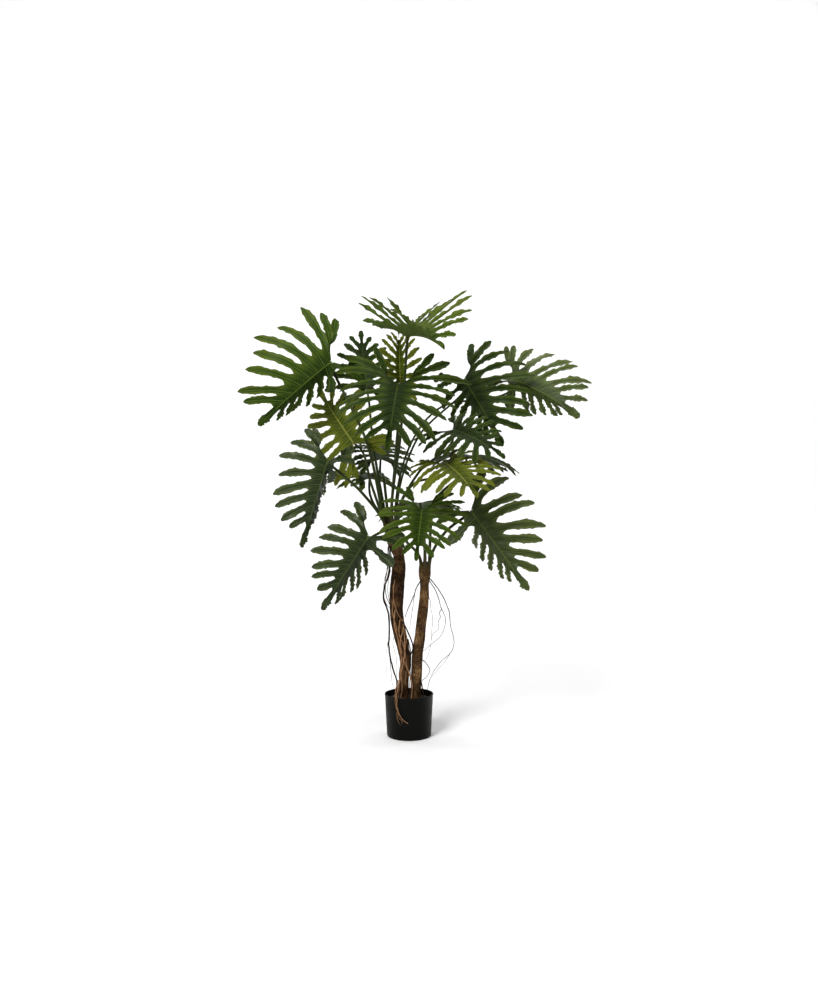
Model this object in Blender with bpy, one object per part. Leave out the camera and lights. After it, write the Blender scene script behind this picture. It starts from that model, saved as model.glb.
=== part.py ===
"""Artificial split-leaf philodendron: two trunks with aerial roots and long-stalked, deeply lobed leaves, in a
small nursery pot. Metres, +Z up, the pot stands on z = 0 with its axis on the z axis, and -Y is the front."""
import math

import bmesh
import bpy
import numpy as np

# pot and filling
POT_HEIGHT = 0.145
POT_TOP_RADIUS = 0.0815
POT_BASE_RADIUS = 0.0750
POT_WALL = 0.0022
POT_BASE = 0.003
RIM_WIDTH = 0.0012
RIM_DEPTH = 0.0045
FOOT_ROUND = 0.006
FILL_TOP = 0.127
HOLE_FLOOR = 0.030
GAP = 0.0004            # clearance between pieces that touch in the real thing
ROUND_SIDES = 36

# stalks and blades
STEM_BASE_RADIUS = 0.0043
STEM_TOP_SHARE = 0.0132 # of the blade's length: the notch that the stalk ends in takes this radius
STEM_TOP_GAP = 0.0004
STEM_SEAT = 0.0042      # the stalk's axis stands this far out of the crown's surface, so it is just sunk in
STEM_LEAN = 0.0085      # and this far, where it leaves the crown
NECK = 0.038            # the stalk meets the blade from below, over this length
STEM_PLUG = 0.012       # depth of the socket on top of the crown
SOCKET_GAP = 0.0007
STEM_SIDES = 5
STEM_STEP = 2           # stations per span of a stalk
BLADE_THICKNESS = 0.0012

# A blade is drawn flat for a length of 1 and then bent. Each side lobe: the place of its vein's root along the
# midrib (below 0: along the basal rib), its angle from the midrib in degrees, its length and its half width, and
# the share of its length that is joined to its neighbours.
SIDE_LOBES = (
    (-0.18, 160, 0.34, 0.036, 0.20),
    (-0.105, 138, 0.48, 0.041, 0.20),
    (-0.03, 116, 0.58, 0.044, 0.21),
    (0.09, 98, 0.64, 0.046, 0.22),
    (0.19, 86, 0.66, 0.047, 0.23),
    (0.30, 76, 0.63, 0.046, 0.24),
    (0.42, 67, 0.57, 0.044, 0.25),
    (0.54, 57, 0.48, 0.041, 0.26),
    (0.66, 46, 0.36, 0.036, 0.26),
)
TIP_LOBE = (0.79, 0.0, 0.23, 0.038, 0.25)
BASAL_ANGLE = 128       # the basal ribs' angle from the midrib, degrees
LOBE_BEND = 14          # degrees a lobe turns towards the leaf's tip
FREE_ROWS = (0.32, 0.80, 1.0)
SHORT_ROWS = (0.66, 1.0)   # of the lobes that are shorter than half the blade
HALF_SPAN = 0.6         # the blade's half width, over which fold and curl act
FOLD_EASE = 0.12
BACK_DROOP = 20         # degrees per blade length that the basal lobes sink

# Trunks: the axis from the foot up, with the radius (m) at each point.
TRUNKS = {
    "left": {"axis": ((-0.020, 0.000, HOLE_FLOOR + GAP), (-0.019, 0.000, 0.131), (-0.017, -0.004, 0.205),
                      (-0.013, -0.006, 0.255), (-0.020, -0.004, 0.302), (-0.037, 0.000, 0.376),
                      (-0.043, 0.002, 0.447), (-0.039, 0.002, 0.514), (-0.034, 0.001, 0.575),
                      (-0.036, 0.000, 0.620), (-0.052, 0.000, 0.665), (-0.061, 0.000, 0.712)),
             "radius": (0.0170, 0.0170, 0.0175, 0.0180, 0.0200, 0.0225,
                        0.0230, 0.0240, 0.0225, 0.0175, 0.0135, 0.0115)},
    "right": {"axis": ((0.022, 0.002, HOLE_FLOOR + GAP), (0.022, 0.002, 0.131), (0.025, 0.002, 0.205),
                       (0.029, 0.003, 0.279), (0.036, 0.004, 0.329), (0.041, 0.004, 0.376),
                       (0.047, 0.003, 0.427), (0.051, 0.002, 0.477), (0.053, 0.001, 0.540),
                       (0.054, 0.000, 0.592)),
              "radius": (0.0175, 0.0180, 0.0185, 0.0185, 0.0180, 0.0175, 0.0170, 0.0160, 0.0125, 0.0085)},
}
TRUNK_SIDES = 14
BARK_DEPTH = 0.06       # share of the radius by which the bark swells and shrinks

# Aerial roots: points from the trunk down, radius, and the trunk each grows from.
ROOTS = (
    ("left", 0.0033, ((-0.046, -0.008, 0.672), (-0.061, -0.018, 0.640), (-0.064, -0.020, 0.600),
                      (-0.066, -0.018, 0.560), (-0.084, -0.014, 0.502), (-0.087, -0.012, 0.475),
                      (-0.071, -0.012, 0.425), (-0.067, -0.012, 0.360), (-0.068, -0.012, 0.300),
                      (-0.052, -0.012, 0.225), (-0.042, -0.014, 0.190), (-0.040, -0.014, 0.131))),
    ("left", 0.0020, ((-0.052, 0.000, 0.668), (-0.070, -0.004, 0.635), (-0.070, -0.008, 0.590),
                      (-0.079, -0.018, 0.525), (-0.075, -0.022, 0.475), (-0.052, -0.012, 0.425))),
    ("left", 0.0026, ((-0.046, -0.016, 0.440), (-0.050, -0.027, 0.400), (-0.036, -0.030, 0.330),
                      (-0.024, -0.028, 0.275), (0.003, -0.026, 0.212), (0.010, -0.022, 0.185),
                      (0.007, -0.022, 0.131))),
    ("left", 0.0024, ((-0.030, -0.010, 0.402), (-0.018, -0.020, 0.385), (0.003, -0.020, 0.340),
                      (0.0135, -0.015, 0.300), (-0.004, -0.010, 0.258))),
    ("right", 0.0020, ((0.050, -0.008, 0.545), (0.034, -0.014, 0.522), (0.014, -0.020, 0.475),
                       (-0.006, -0.020, 0.428), (-0.012, -0.022, 0.408))),
    ("right", 0.0018, ((0.058, -0.008, 0.548), (0.086, -0.018, 0.518), (0.120, -0.022, 0.465),
                       (0.136, -0.022, 0.418), (0.138, -0.020, 0.385), (0.151, -0.015, 0.325),
                       (0.147, -0.012, 0.296), (0.103, -0.006, 0.248), (0.077, -0.006, 0.208),
                       (0.056, -0.010, 0.131))),
    ("right", 0.0016, ((0.056, -0.006, 0.545), (0.072, -0.010, 0.525), (0.098, -0.016, 0.475),
                       (0.110, -0.016, 0.432), (0.121, -0.014, 0.408), (0.109, -0.008, 0.345),
                       (0.074, 0.000, 0.310), (0.045, 0.003, 0.285))),
)
RIM_ROOT = ("left", 0.0020, ((-0.022, -0.010, 0.400), (-0.014, -0.034, 0.300), (-0.026, -0.048, 0.220),
                             (-0.038, -0.064, 0.172), (-0.041, -0.0745, 0.1530), (-0.041, -0.0790, 0.138),
                             (-0.038, -0.0790, 0.111), (-0.020, -0.0805, 0.073), (-0.003, -0.0810, 0.060)))
ROOT_SIDES = 4
ROOT_STEP = 2           # tube stations per span of a root

# Leaves. crown: the trunk and the stalk's place round it (degrees) and height on it (m). at, tip: where the
# blade meets its stalk, and its tip. face: the way the upper side looks (azimuth, elevation). fold, curl: how
# the left and right halves lift and then sink (degrees). droop: bend of the midrib. hang: how the lobes sag.
# back: how the basal lobes sink, or rise below 0. size: scale of the left and right lobes, ears: and of the basal
# ones. via: a point that the stalk passes. reach: how far it ends past "at".
LEAVES = (
    {"crown": ("left", 195, 0.675), "via": (-0.140, 0.000, 0.990), "at": (-0.260, 0.000, 1.262),
     "tip": (-0.487, -0.100, 1.052), "face": (-85, 10), "fold": (-65, 8), "curl": (20, 20), "droop": 25,
     "hang": 0.10, "size": (0.60, 1.10), "tone": "mid", "seed": 1},
    {"crown": ("left", None, 0.712), "via": (-0.030, 0.000, 1.000), "at": (-0.007, -0.020, 1.342),
     "tip": (0.105, -0.300, 1.277), "face": (-90, 72), "fold": (40, 48), "curl": (10, 10), "droop": 25,
     "hang": 0.00, "size": (1.05, 1.05), "reach": 0.0046, "tone": "light", "seed": 2},
    {"crown": ("left", 285, 0.680), "via": (-0.038, -0.080, 0.980), "at": (-0.036, -0.120, 1.180),
     "tip": (-0.066, -0.310, 0.970), "face": (-90, 20), "fold": (12, 12), "curl": (30, 35), "droop": 30,
     "hang": 0.08, "back": -75, "size": (1.05, 1.05), "ears": 1.4, "tone": "dark", "seed": 3},
    {"crown": ("left", 75, 0.685), "via": (-0.045, 0.045, 0.960), "at": (-0.030, 0.080, 1.200),
     "tip": (-0.036, 0.150, 1.385), "face": (-90, 25), "fold": (50, 50), "curl": (15, 15), "droop": 20,
     "hang": 0.00, "size": (0.80, 0.80), "reach": 0.0032, "tone": "lime", "seed": 4},
    {"crown": ("left", 134, 0.683), "via": (-0.125, 0.095, 1.000), "at": (-0.148, 0.165, 1.180),
     "tip": (-0.172, 0.255, 1.390), "face": (-95, 25), "fold": (10, 5), "curl": (15, 15), "droop": 20,
     "hang": 0.00, "size": (0.80, 0.72), "tone": "dark", "seed": 5},
    {"crown": ("left", 15, 0.680), "via": (0.030, 0.050, 1.010), "at": (0.189, 0.095, 1.210),
     "tip": (0.306, -0.075, 0.985), "face": (-95, 15), "fold": (12, -29), "curl": (20, 20), "droop": 30,
     "hang": 0.10, "back": -30, "size": (1.05, 0.60), "tone": "dark", "seed": 7},
    {"crown": ("left", 45, 0.692), "via": (0.100, 0.130, 1.110), "at": (0.354, 0.110, 1.212),
     "tip": (0.556, -0.070, 1.078), "face": (-90, 40), "fold": (15, -80), "curl": (20, 10), "droop": 25,
     "hang": 0.05, "back": -60, "size": (1.02, 0.55), "tone": "grey", "seed": 8},
    {"crown": ("left", 346, 0.672), "via": (0.030, -0.010, 0.890), "at": (0.144, -0.040, 1.035),
     "tip": (0.300, -0.200, 0.943), "face": (-80, 40), "fold": (12, 3), "curl": (15, 15), "droop": 30,
     "hang": 0.00, "size": (0.64, 0.93), "tone": "dark", "seed": 9},
    {"crown": ("left", 168, 0.668), "via": (-0.130, 0.030, 0.860), "at": (-0.188, 0.060, 0.990),
     "tip": (-0.310, 0.190, 1.170), "face": (-115, 15), "fold": (0, 0), "curl": (30, 30), "droop": 20,
     "hang": 0.00, "size": (1.00, 0.90), "tone": "lime", "seed": 10},
    {"crown": ("left", 103, 0.673), "via": (-0.088, 0.070, 0.880), "at": (-0.100, 0.180, 0.935),
     "tip": (-0.120, 0.440, 0.990), "face": (90, 60), "fold": (5, 5), "curl": (30, 30), "droop": 30,
     "hang": 0.10, "size": (0.78, 0.78), "tone": "dark", "seed": 11},
    {"crown": ("left", 225, 0.660), "via": (-0.160, -0.040, 0.830), "at": (-0.266, -0.080, 0.935),
     "tip": (-0.342, -0.170, 0.660), "face": (-85, 10), "fold": (-80, 8), "curl": (20, 30), "droop": 25,
     "hang": 0.10, "size": (0.50, 0.76), "tone": "blue", "seed": 12},
    {"crown": ("left", 255, 0.650), "via": (-0.085, -0.070, 0.700), "at": (-0.130, -0.130, 0.688),
     "tip": (-0.271, -0.250, 0.470), "face": (-85, 15), "fold": (-62, 5), "curl": (20, 25), "droop": 20,
     "hang": 0.12, "size": (0.72, 0.76), "tone": "grey", "seed": 14},
    {"crown": ("left", 312, 0.662), "via": (0.020, -0.080, 0.860), "at": (0.119, -0.155, 0.925),
     "tip": (0.208, -0.325, 0.825), "face": (-80, 35), "fold": (12, 8), "curl": (25, 25), "droop": 25,
     "hang": 0.10, "size": (1.00, 1.00), "tone": "lime", "seed": 16},
    {"crown": ("right", 150, 0.555), "via": (-0.022, 0.055, 0.670), "at": (-0.138, 0.155, 0.868),
     "tip": (-0.236, 0.395, 0.880), "face": (90, 80), "fold": (0, 0), "curl": (20, 20), "droop": 20,
     "hang": 0.10, "size": (0.90, 0.80), "tone": "light", "seed": 13},
    {"crown": ("right", 270, 0.560), "via": (0.046, -0.080, 0.690), "at": (0.042, -0.150, 0.775),
     "tip": (0.022, -0.310, 0.630), "face": (-90, 25), "fold": (15, 15), "curl": (25, 25), "droop": 25,
     "hang": 0.05, "back": -42, "size": (1.03, 1.03), "tone": "mid", "seed": 15},
    {"crown": ("right", 330, 0.550), "via": (0.120, -0.005, 0.690), "at": (0.207, -0.020, 0.765),
     "tip": (0.387, -0.120, 0.515), "face": (-95, 12), "fold": (8, -58), "curl": (25, 20), "droop": 25,
     "hang": 0.10, "size": (0.88, 0.66), "tone": "blue", "seed": 17},
    {"crown": ("right", 30, 0.560), "via": (0.095, 0.070, 0.800), "at": (0.202, 0.158, 0.948),
     "tip": (0.312, 0.408, 0.878), "face": (60, 60), "fold": (5, 5), "curl": (30, 30), "droop": 35,
     "hang": 0.15, "size": (1.00, 1.00), "tone": "dark", "seed": 18},
    {"crown": ("right", 90, 0.565), "via": (0.050, 0.090, 0.700), "at": (0.040, 0.215, 0.780),
     "tip": (0.030, 0.485, 0.680), "face": (100, 60), "fold": (5, 5), "curl": (30, 30), "droop": 35,
     "hang": 0.15, "size": (0.85, 0.85), "tone": "mid", "seed": 19},
)

COLOURS = {
    "pot": (0.012, 0.012, 0.013), "fill": (0.035, 0.028, 0.022),
    "trunk_left": (0.060, 0.038, 0.022), "trunk_right": (0.115, 0.062, 0.032),
    "stem": (0.035, 0.060, 0.020),
    "mid": (0.060, 0.130, 0.025), "light": (0.110, 0.190, 0.050), "dark": (0.020, 0.055, 0.018),
    "lime": (0.150, 0.200, 0.040), "grey": (0.045, 0.075, 0.045), "blue": (0.040, 0.085, 0.060),
}
ROUGHNESS = {"pot": 0.35, "fill": 0.95, "trunk_left": 0.85, "trunk_right": 0.75, "stem": 0.45}


def clear_scene():
    for obj in list(bpy.data.objects):
        bpy.data.objects.remove(obj, do_unlink=True)


def material(name, key):
    mat = bpy.data.materials.new(name)
    mat.use_nodes = True
    shader = mat.node_tree.nodes["Principled BSDF"]
    shader.inputs["Base Color"].default_value = (*COLOURS[key], 1.0)
    shader.inputs["Roughness"].default_value = ROUGHNESS.get(key, 0.45)
    return mat


def new_object(name, points, faces, key, smooth=False):
    mesh = bpy.data.meshes.new(name)
    mesh.from_pydata([tuple(float(c) for c in p) for p in points], [], faces)
    mesh.validate()
    obj = bpy.data.objects.new(name, mesh)
    bpy.context.scene.collection.objects.link(obj)
    if key:
        mesh.materials.append(material(name, key))
    for face in mesh.polygons:
        face.use_smooth = smooth
    return obj


def turned(profile, sides):
    """A solid of revolution: the closed profile lists (radius, height), counter-clockwise seen with +r right."""
    points, faces, rings = [], [], []
    for radius, height in profile:
        if radius < 1e-6:
            rings.append([len(points)] * sides)
            points.append((0.0, 0.0, height))
            continue
        rings.append(list(range(len(points), len(points) + sides)))
        for k in range(sides):
            a = 2 * math.pi * k / sides
            points.append((radius * math.cos(a), radius * math.sin(a), height))
    for i in range(len(rings)):
        low, high = rings[i], rings[(i + 1) % len(rings)]
        if low[0] == low[1] and high[0] == high[1]:
            continue
        for k in range(sides):
            ring = [low[k], low[(k + 1) % sides], high[(k + 1) % sides], high[k]]
            corners = [v for n, v in enumerate(ring) if v not in ring[:n]]
            faces.append(tuple(corners))
    return points, faces


def smooth_path(knots, steps):
    """A smooth curve through the knots, steps to a span, that doesn't swing out where spans differ in length."""
    knots = [np.array(k, float) for k in knots]
    spans = [np.linalg.norm(b - a) for a, b in zip(knots, knots[1:])]
    rates = [(b - a) / d for a, b, d in zip(knots, knots[1:], spans)]
    slopes = [rates[0]]
    for i in range(1, len(knots) - 1):
        near, far = spans[i - 1], spans[i]
        slopes.append((rates[i - 1] * far + rates[i] * near) / (near + far))
    slopes.append(rates[-1])
    path = []
    for i, span in enumerate(spans):
        for k in range(steps):
            t = k / steps
            path.append(knots[i] * (1 + 2 * t) * (1 - t) ** 2 + knots[i + 1] * t * t * (3 - 2 * t)
                        + (slopes[i] * (1 - t) - slopes[i + 1] * t) * t * (1 - t) * span)
    return path + [knots[-1]]


def tube(path, radii, sides, swell=None):
    """A closed tube along the path; swell(station, side) scales the radius."""
    path = [np.array(p, float) for p in path]
    points, faces = [], []
    across = None
    for i, p in enumerate(path):
        way = path[min(i + 1, len(path) - 1)] - path[max(i - 1, 0)]
        way /= np.linalg.norm(way)
        if across is None:
            start = np.array((1.0, 0.0, 0.0)) if abs(way[0]) < 0.9 else np.array((0.0, 1.0, 0.0))
            across = start
        across = across - way * (across @ way)
        across /= np.linalg.norm(across)
        other = np.cross(way, across)
        for k in range(sides):
            a = 2 * math.pi * k / sides
            r = radii[i] * (swell(i, k) if swell else 1.0)
            points.append(p + (across * math.cos(a) + other * math.sin(a)) * r)
    for i in range(len(path) - 1):
        for k in range(sides):
            a, b = i * sides + k, i * sides + (k + 1) % sides
            faces.append((a, b, b + sides, a + sides))
    for ring, flip in ((0, True), (len(path) - 1, False)):
        mid = len(points)
        points.append(path[ring])
        for k in range(sides):
            a, b = ring * sides + k, ring * sides + (k + 1) % sides
            faces.append((b, a, mid) if flip else (a, b, mid))
    return points, faces


def rib_point(s):
    """A point of the flat blade's rib: on the midrib, or below 0 on the left basal rib."""
    if s >= 0:
        return np.array((s, 0.0))
    a = math.radians(BASAL_ANGLE)
    return np.array((-s * math.cos(a), -s * math.sin(a)))


def lobe_width(t):
    """Half width along a lobe's free part as a share of its widest: a slight waist, then full to a round end."""
    return (0.80 + 0.22 * ease(t / 0.6)) * math.sqrt(max(0.0, 1 - t ** 7))


def ease(x):
    x = min(1.0, max(0.0, x))
    return x * x * (3 - 2 * x)


class Lobe:
    """One lobe of the flat blade: its vein and how it varies."""

    def __init__(self, spec, side, size, rng):
        self.s, angle, length, self.width, self.web = spec
        self.side = side
        self.angle = angle
        self.length = length * size
        self.rows = FREE_ROWS if length > 0.5 else SHORT_ROWS
        self.bend = 0.0
        self.tilt = 0.0
        if angle:
            self.angle += rng.uniform(-5, 5)
            self.length *= rng.uniform(0.92, 1.08)
            self.width *= rng.uniform(0.9, 1.12)
            self.tilt = rng.uniform(-0.1, 0.1)
            self.bend = LOBE_BEND * rng.uniform(0.3, 1.6)
        self.phase = rng.uniform(0, 2 * math.pi)

    def root(self):
        return rib_point(self.s) * (1, self.side)

    def vein(self, t):
        """The vein's point at the share t of its length, and the direction across it to the leaf's tip."""
        a0, turn = math.radians(self.angle), -math.radians(self.bend)
        a1 = a0 + turn * t
        if self.bend:
            step = np.array((math.sin(a1) - math.sin(a0), math.cos(a0) - math.cos(a1))) / turn
        else:
            step = np.array((math.cos(a0), math.sin(a0))) * t
        p = rib_point(self.s) + step * self.length
        return p * (1, self.side), np.array((math.sin(a1), -math.cos(a1) * self.side))


def flat_blade(leaf):
    """The blade's middle surface for a length of 1: points (u, v, h) and faces. The left half has v above 0."""
    rng = np.random.default_rng(leaf["seed"])
    ears = leaf.get("ears", 1.0)
    lobes = {side: [Lobe(spec, side, size * (ears if spec[0] < 0 else 1.0), rng) for spec in SIDE_LOBES]
             for side, size in ((1, leaf["size"][0]), (-1, leaf["size"][1]))}
    points, faces, known = [], [], {}

    def vertex(p, h):
        key = (round(float(p[0]), 5), round(float(p[1]), 5))
        if key not in known:
            known[key] = len(points)
            points.append((p[0], p[1], h))
        return known[key]

    tip_rng = np.random.default_rng(leaf["seed"] + 100)
    for side in (1, -1):
        tip = Lobe(TIP_LOBE, side, 1.0, tip_rng)
        tip.phase = leaf["seed"]
        row = lobes[side] + [tip]
        cuts = []               # between neighbours: the rib's point and the bottom of the notch
        for near, far in zip(row, row[1:]):
            reach = (near.web * near.length + far.web * far.length) / 2
            a = near.vein(min(0.8, reach / near.length))[0]
            b = far.vein(min(0.8, reach / far.length))[0]
            s = (near.s + far.s) / 2
            if far is tip:
                b = far.vein(0.30)[0]
                s = tip.s - 0.03
            cuts.append((rib_point(s) * (1, side), (a + b) / 2))
        for i, lobe in enumerate(row):
            back = cuts[i - 1] if i else None
            front = cuts[i] if lobe is not tip else None
            stations = []
            root = lobe.root()
            stations.append((back[0] if back else root, root, front[0] if front else root, 0.0))
            mid, ahead = lobe.vein(lobe.web)
            first = mid - ahead * lobe.width * lobe_width(0)
            stations.append((back[1] if back else first, mid, front[1] if front else mid, 0.0))
            for t in lobe.rows:
                mid, ahead = lobe.vein(lobe.web + (1 - lobe.web) * t)
                w = lobe.width * lobe_width(t)
                fore = mid + ahead * w * (1 + 0.10 * math.sin(9 * t + lobe.phase))
                aft = mid - ahead * w * (1 + 0.10 * math.sin(8 * t + 2 * lobe.phase + 1))
                stations.append((aft, mid, fore if front else mid, t))
            ids = []
            for aft, mid, fore, t in stations:
                if t == 1.0:
                    aft = fore = mid
                lift = lobe.tilt * lobe.length * t * t
                edge = 0.010 * ease(4 * t) * (t < 1)
                wave = 0.008 * math.sin(11 * t + lobe.phase) * ease(3 * t) * (t < 1)
                line = [vertex(aft, lift + edge - wave), vertex(mid, lift)]
                if front:
                    line.append(vertex(fore, lift + edge + wave))
                ids.append(line)
            for low, high in zip(ids, ids[1:]):
                for j in range(len(low) - 1):
                    ring = [low[j], low[j + 1], high[j + 1], high[j]]
                    corners = [v for n, v in enumerate(ring) if v not in ring[:n]]
                    if len(corners) > 2:
                        faces.append(tuple(corners if side > 0 else corners[::-1]))
    return np.array(points), faces


def blade_frame(leaf):
    """The blade's root, its axes there (along, up, left), its length and the midrib's bend."""
    root, tip = np.array(leaf["at"]), np.array(leaf["tip"])
    droop = math.radians(leaf["droop"])
    reach, sink = math.sin(droop) / droop, (1 - math.cos(droop)) / droop
    chord = tip - root
    length = np.linalg.norm(chord) / math.hypot(reach, sink)
    chord /= np.linalg.norm(chord)
    azimuth, elevation = (math.radians(a) for a in leaf["face"])
    face = np.array((math.cos(azimuth) * math.cos(elevation), math.sin(azimuth) * math.cos(elevation),
                     math.sin(elevation)))
    up = face - chord * (face @ chord)
    up /= np.linalg.norm(up)
    lift = math.atan2(sink, reach)
    along = chord * math.cos(lift) + up * math.sin(lift)
    up = up * math.cos(lift) - chord * math.sin(lift)
    return root, along, up, np.cross(up, along), length, droop


def bend_blade(leaf, flat):
    """Takes the flat blade's points to their places: folded and curled across, drooped along, sagging."""
    root, along, up, left, length, droop = blade_frame(leaf)
    back = math.radians(leaf.get("back", BACK_DROOP))
    placed = []
    for u, v, h in flat:
        half = 0 if v >= 0 else 1
        fold = math.radians(leaf["fold"][half])
        if fold < 0:
            fold *= ease(u / FOLD_EASE)      # a half that folds back lies flat at the stalk
        rate = math.radians(leaf["curl"][half]) / HALF_SPAN
        angle = fold - rate * abs(v)
        if rate:
            y = (math.sin(fold) - math.sin(angle)) / rate
            z = (math.cos(angle) - math.cos(fold)) / rate
        else:
            y, z = abs(v) * math.cos(fold), abs(v) * math.sin(fold)
        y = math.copysign(y - h * math.sin(angle), v) if v else 0.0
        z += h * math.cos(angle)
        turn = droop if u >= 0 else back
        a = turn * u
        rib = root + (along * math.sin(a) / turn - up * (1 - math.cos(a)) / turn) * length
        arm = ((along * math.sin(a) + up * math.cos(a)) * z + left * y) * length
        reach = np.linalg.norm(arm)
        if reach > 1e-6:
            sag = arm - np.array((0, 0, leaf["hang"])) * reach ** 2 / (HALF_SPAN * length)
            arm = sag * reach / np.linalg.norm(sag)
        placed.append(rib + arm)
    return placed


def make_blade(name, leaf):
    flat, faces = flat_blade(leaf)
    obj = new_object(name, bend_blade(leaf, flat), faces, leaf["tone"])
    bm = bmesh.new()
    bm.from_mesh(obj.data)
    bmesh.ops.triangulate(bm, faces=bm.faces[:], quad_method="SHORT_EDGE")
    bm.to_mesh(obj.data)
    bm.free()
    solid = obj.modifiers.new("Thickness", "SOLIDIFY")
    solid.thickness = BLADE_THICKNESS
    solid.offset = 0.0
    solid.use_even_offset = False
    apply_modifiers(obj)
    return obj


def apply_modifiers(obj):
    graph = bpy.context.evaluated_depsgraph_get()
    mesh = bpy.data.meshes.new_from_object(obj.evaluated_get(graph))
    old = obj.data
    obj.modifiers.clear()
    obj.data = mesh
    mesh.name = obj.name
    bpy.data.meshes.remove(old)


def cut_away(obj, name, solid):
    cutter = new_object(name, *solid, None)
    cut = obj.modifiers.new("Cut", "BOOLEAN")
    cut.operation = "DIFFERENCE"
    cut.solver = "EXACT"
    cut.object = cutter
    apply_modifiers(obj)
    bpy.data.objects.remove(cutter, do_unlink=True)


def trunk_at(name, height):
    """The trunk's axis point and radius at a height."""
    trunk = TRUNKS[name]
    heights = [p[2] for p in trunk["axis"]]
    x = np.interp(height, heights, [p[0] for p in trunk["axis"]])
    y = np.interp(height, heights, [p[1] for p in trunk["axis"]])
    return np.array((x, y, height)), np.interp(height, heights, trunk["radius"])


def make_trunk(side):
    trunk = TRUNKS[side]
    path = smooth_path(trunk["axis"], 2)
    heights = [p[2] for p in trunk["axis"]]
    radii = [float(np.interp(p[2], heights, trunk["radius"])) for p in path]
    rng = np.random.default_rng(3 if side == "left" else 4)
    noise = rng.uniform(-1, 1, (len(path), TRUNK_SIDES))

    def swell(i, k):
        crown = path[-1][2] - path[i][2] < 0.12      # stalks lie against the crown, which stays plain
        foot = path[i][2] < FILL_TOP + 0.02          # and so does the foot in its hole
        return 1.0 if crown or foot else 1 + BARK_DEPTH * noise[i][k]

    points, faces = tube(path, radii, TRUNK_SIDES, swell)
    obj = new_object("trunk_" + side, points, faces, "trunk_" + side, smooth=True)
    own = [r for r in ROOTS + (RIM_ROOT,) if r[0] == side]
    for number, (_, radius, knots) in enumerate(own):
        line = smooth_path(knots, ROOT_STEP)
        taper = [radius * (1 - 0.35 * i / (len(line) - 1)) for i in range(len(line))]
        pts, fcs = tube(line, taper, ROOT_SIDES)
        root = new_object("root_cut_%s_%d" % (side, number), pts, fcs, None)
        join = obj.modifiers.new("Root", "BOOLEAN")
        join.operation = "UNION"
        join.solver = "EXACT"
        join.object = root
        apply_modifiers(obj)
        bpy.data.objects.remove(root, do_unlink=True)
    for number, leaf in enumerate(LEAVES, 1):
        if leaf["crown"][0] == side:
            cut_away(obj, "socket_cut_%02d" % number, stem_tube(leaf, SOCKET_GAP))
    return obj


def stem_tube(leaf, grow=0.0):
    """The stalk as a tube, or with grow the space that it needs, longer at its foot."""
    side, place, height = leaf["crown"]
    if place is None:
        base, _ = trunk_at(side, height - STEM_PLUG)
        rise = base + np.array((0.0, 0.0, 0.06 + STEM_PLUG))
    else:
        a = math.radians(place)
        out = np.array((math.cos(a), math.sin(a), 0.0))
        axis, radius = trunk_at(side, height)
        base = axis + out * (radius + STEM_SEAT)
        axis, radius = trunk_at(side, height + 0.040)
        rise = axis + out * (radius + STEM_LEAN)
    root, along, up, _, length, _ = blade_frame(leaf)
    neck = root - up * NECK - along * NECK / 3
    root = root + along * leaf.get("reach", 0.0)
    path = smooth_path((base, rise, leaf["via"], neck, root), STEM_STEP)
    n = len(path) - 1
    top = STEM_TOP_SHARE * length - STEM_TOP_GAP
    radii = [STEM_BASE_RADIUS + (top - STEM_BASE_RADIUS) * i / n + grow for i in range(n + 1)]
    way = (path[1] - path[0]) / np.linalg.norm(path[1] - path[0])
    path[0] = path[0] - way * grow
    return tube(path, radii, STEM_SIDES)


def make_stem(name, leaf):
    points, faces = stem_tube(leaf)
    return new_object(name, points, faces, "stem", smooth=True)


def make_pot():
    inner_top = POT_TOP_RADIUS - POT_WALL
    profile = [(0.0, 0.0), (POT_BASE_RADIUS - FOOT_ROUND, 0.0), (POT_BASE_RADIUS - 0.0018, 0.0018),
               (POT_BASE_RADIUS, FOOT_ROUND), (POT_TOP_RADIUS, POT_HEIGHT - RIM_DEPTH),
               (POT_TOP_RADIUS + RIM_WIDTH, POT_HEIGHT - RIM_DEPTH + 0.001),
               (POT_TOP_RADIUS + RIM_WIDTH, POT_HEIGHT - 0.0015), (POT_TOP_RADIUS + RIM_WIDTH - 0.0015, POT_HEIGHT),
               (inner_top + 0.0005, POT_HEIGHT), (inner_top, POT_HEIGHT - 0.002),
               (POT_BASE_RADIUS - POT_WALL, FOOT_ROUND + 0.002), (POT_BASE_RADIUS - FOOT_ROUND, POT_BASE),
               (0.0, POT_BASE)]
    points, faces = turned(profile, ROUND_SIDES)
    return new_object("pot", points, faces, "pot", smooth=True)


def inner_radius(height):
    share = (height - FOOT_ROUND) / (POT_HEIGHT - FOOT_ROUND)
    return POT_BASE_RADIUS - POT_WALL + (POT_TOP_RADIUS - POT_BASE_RADIUS) * share


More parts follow.
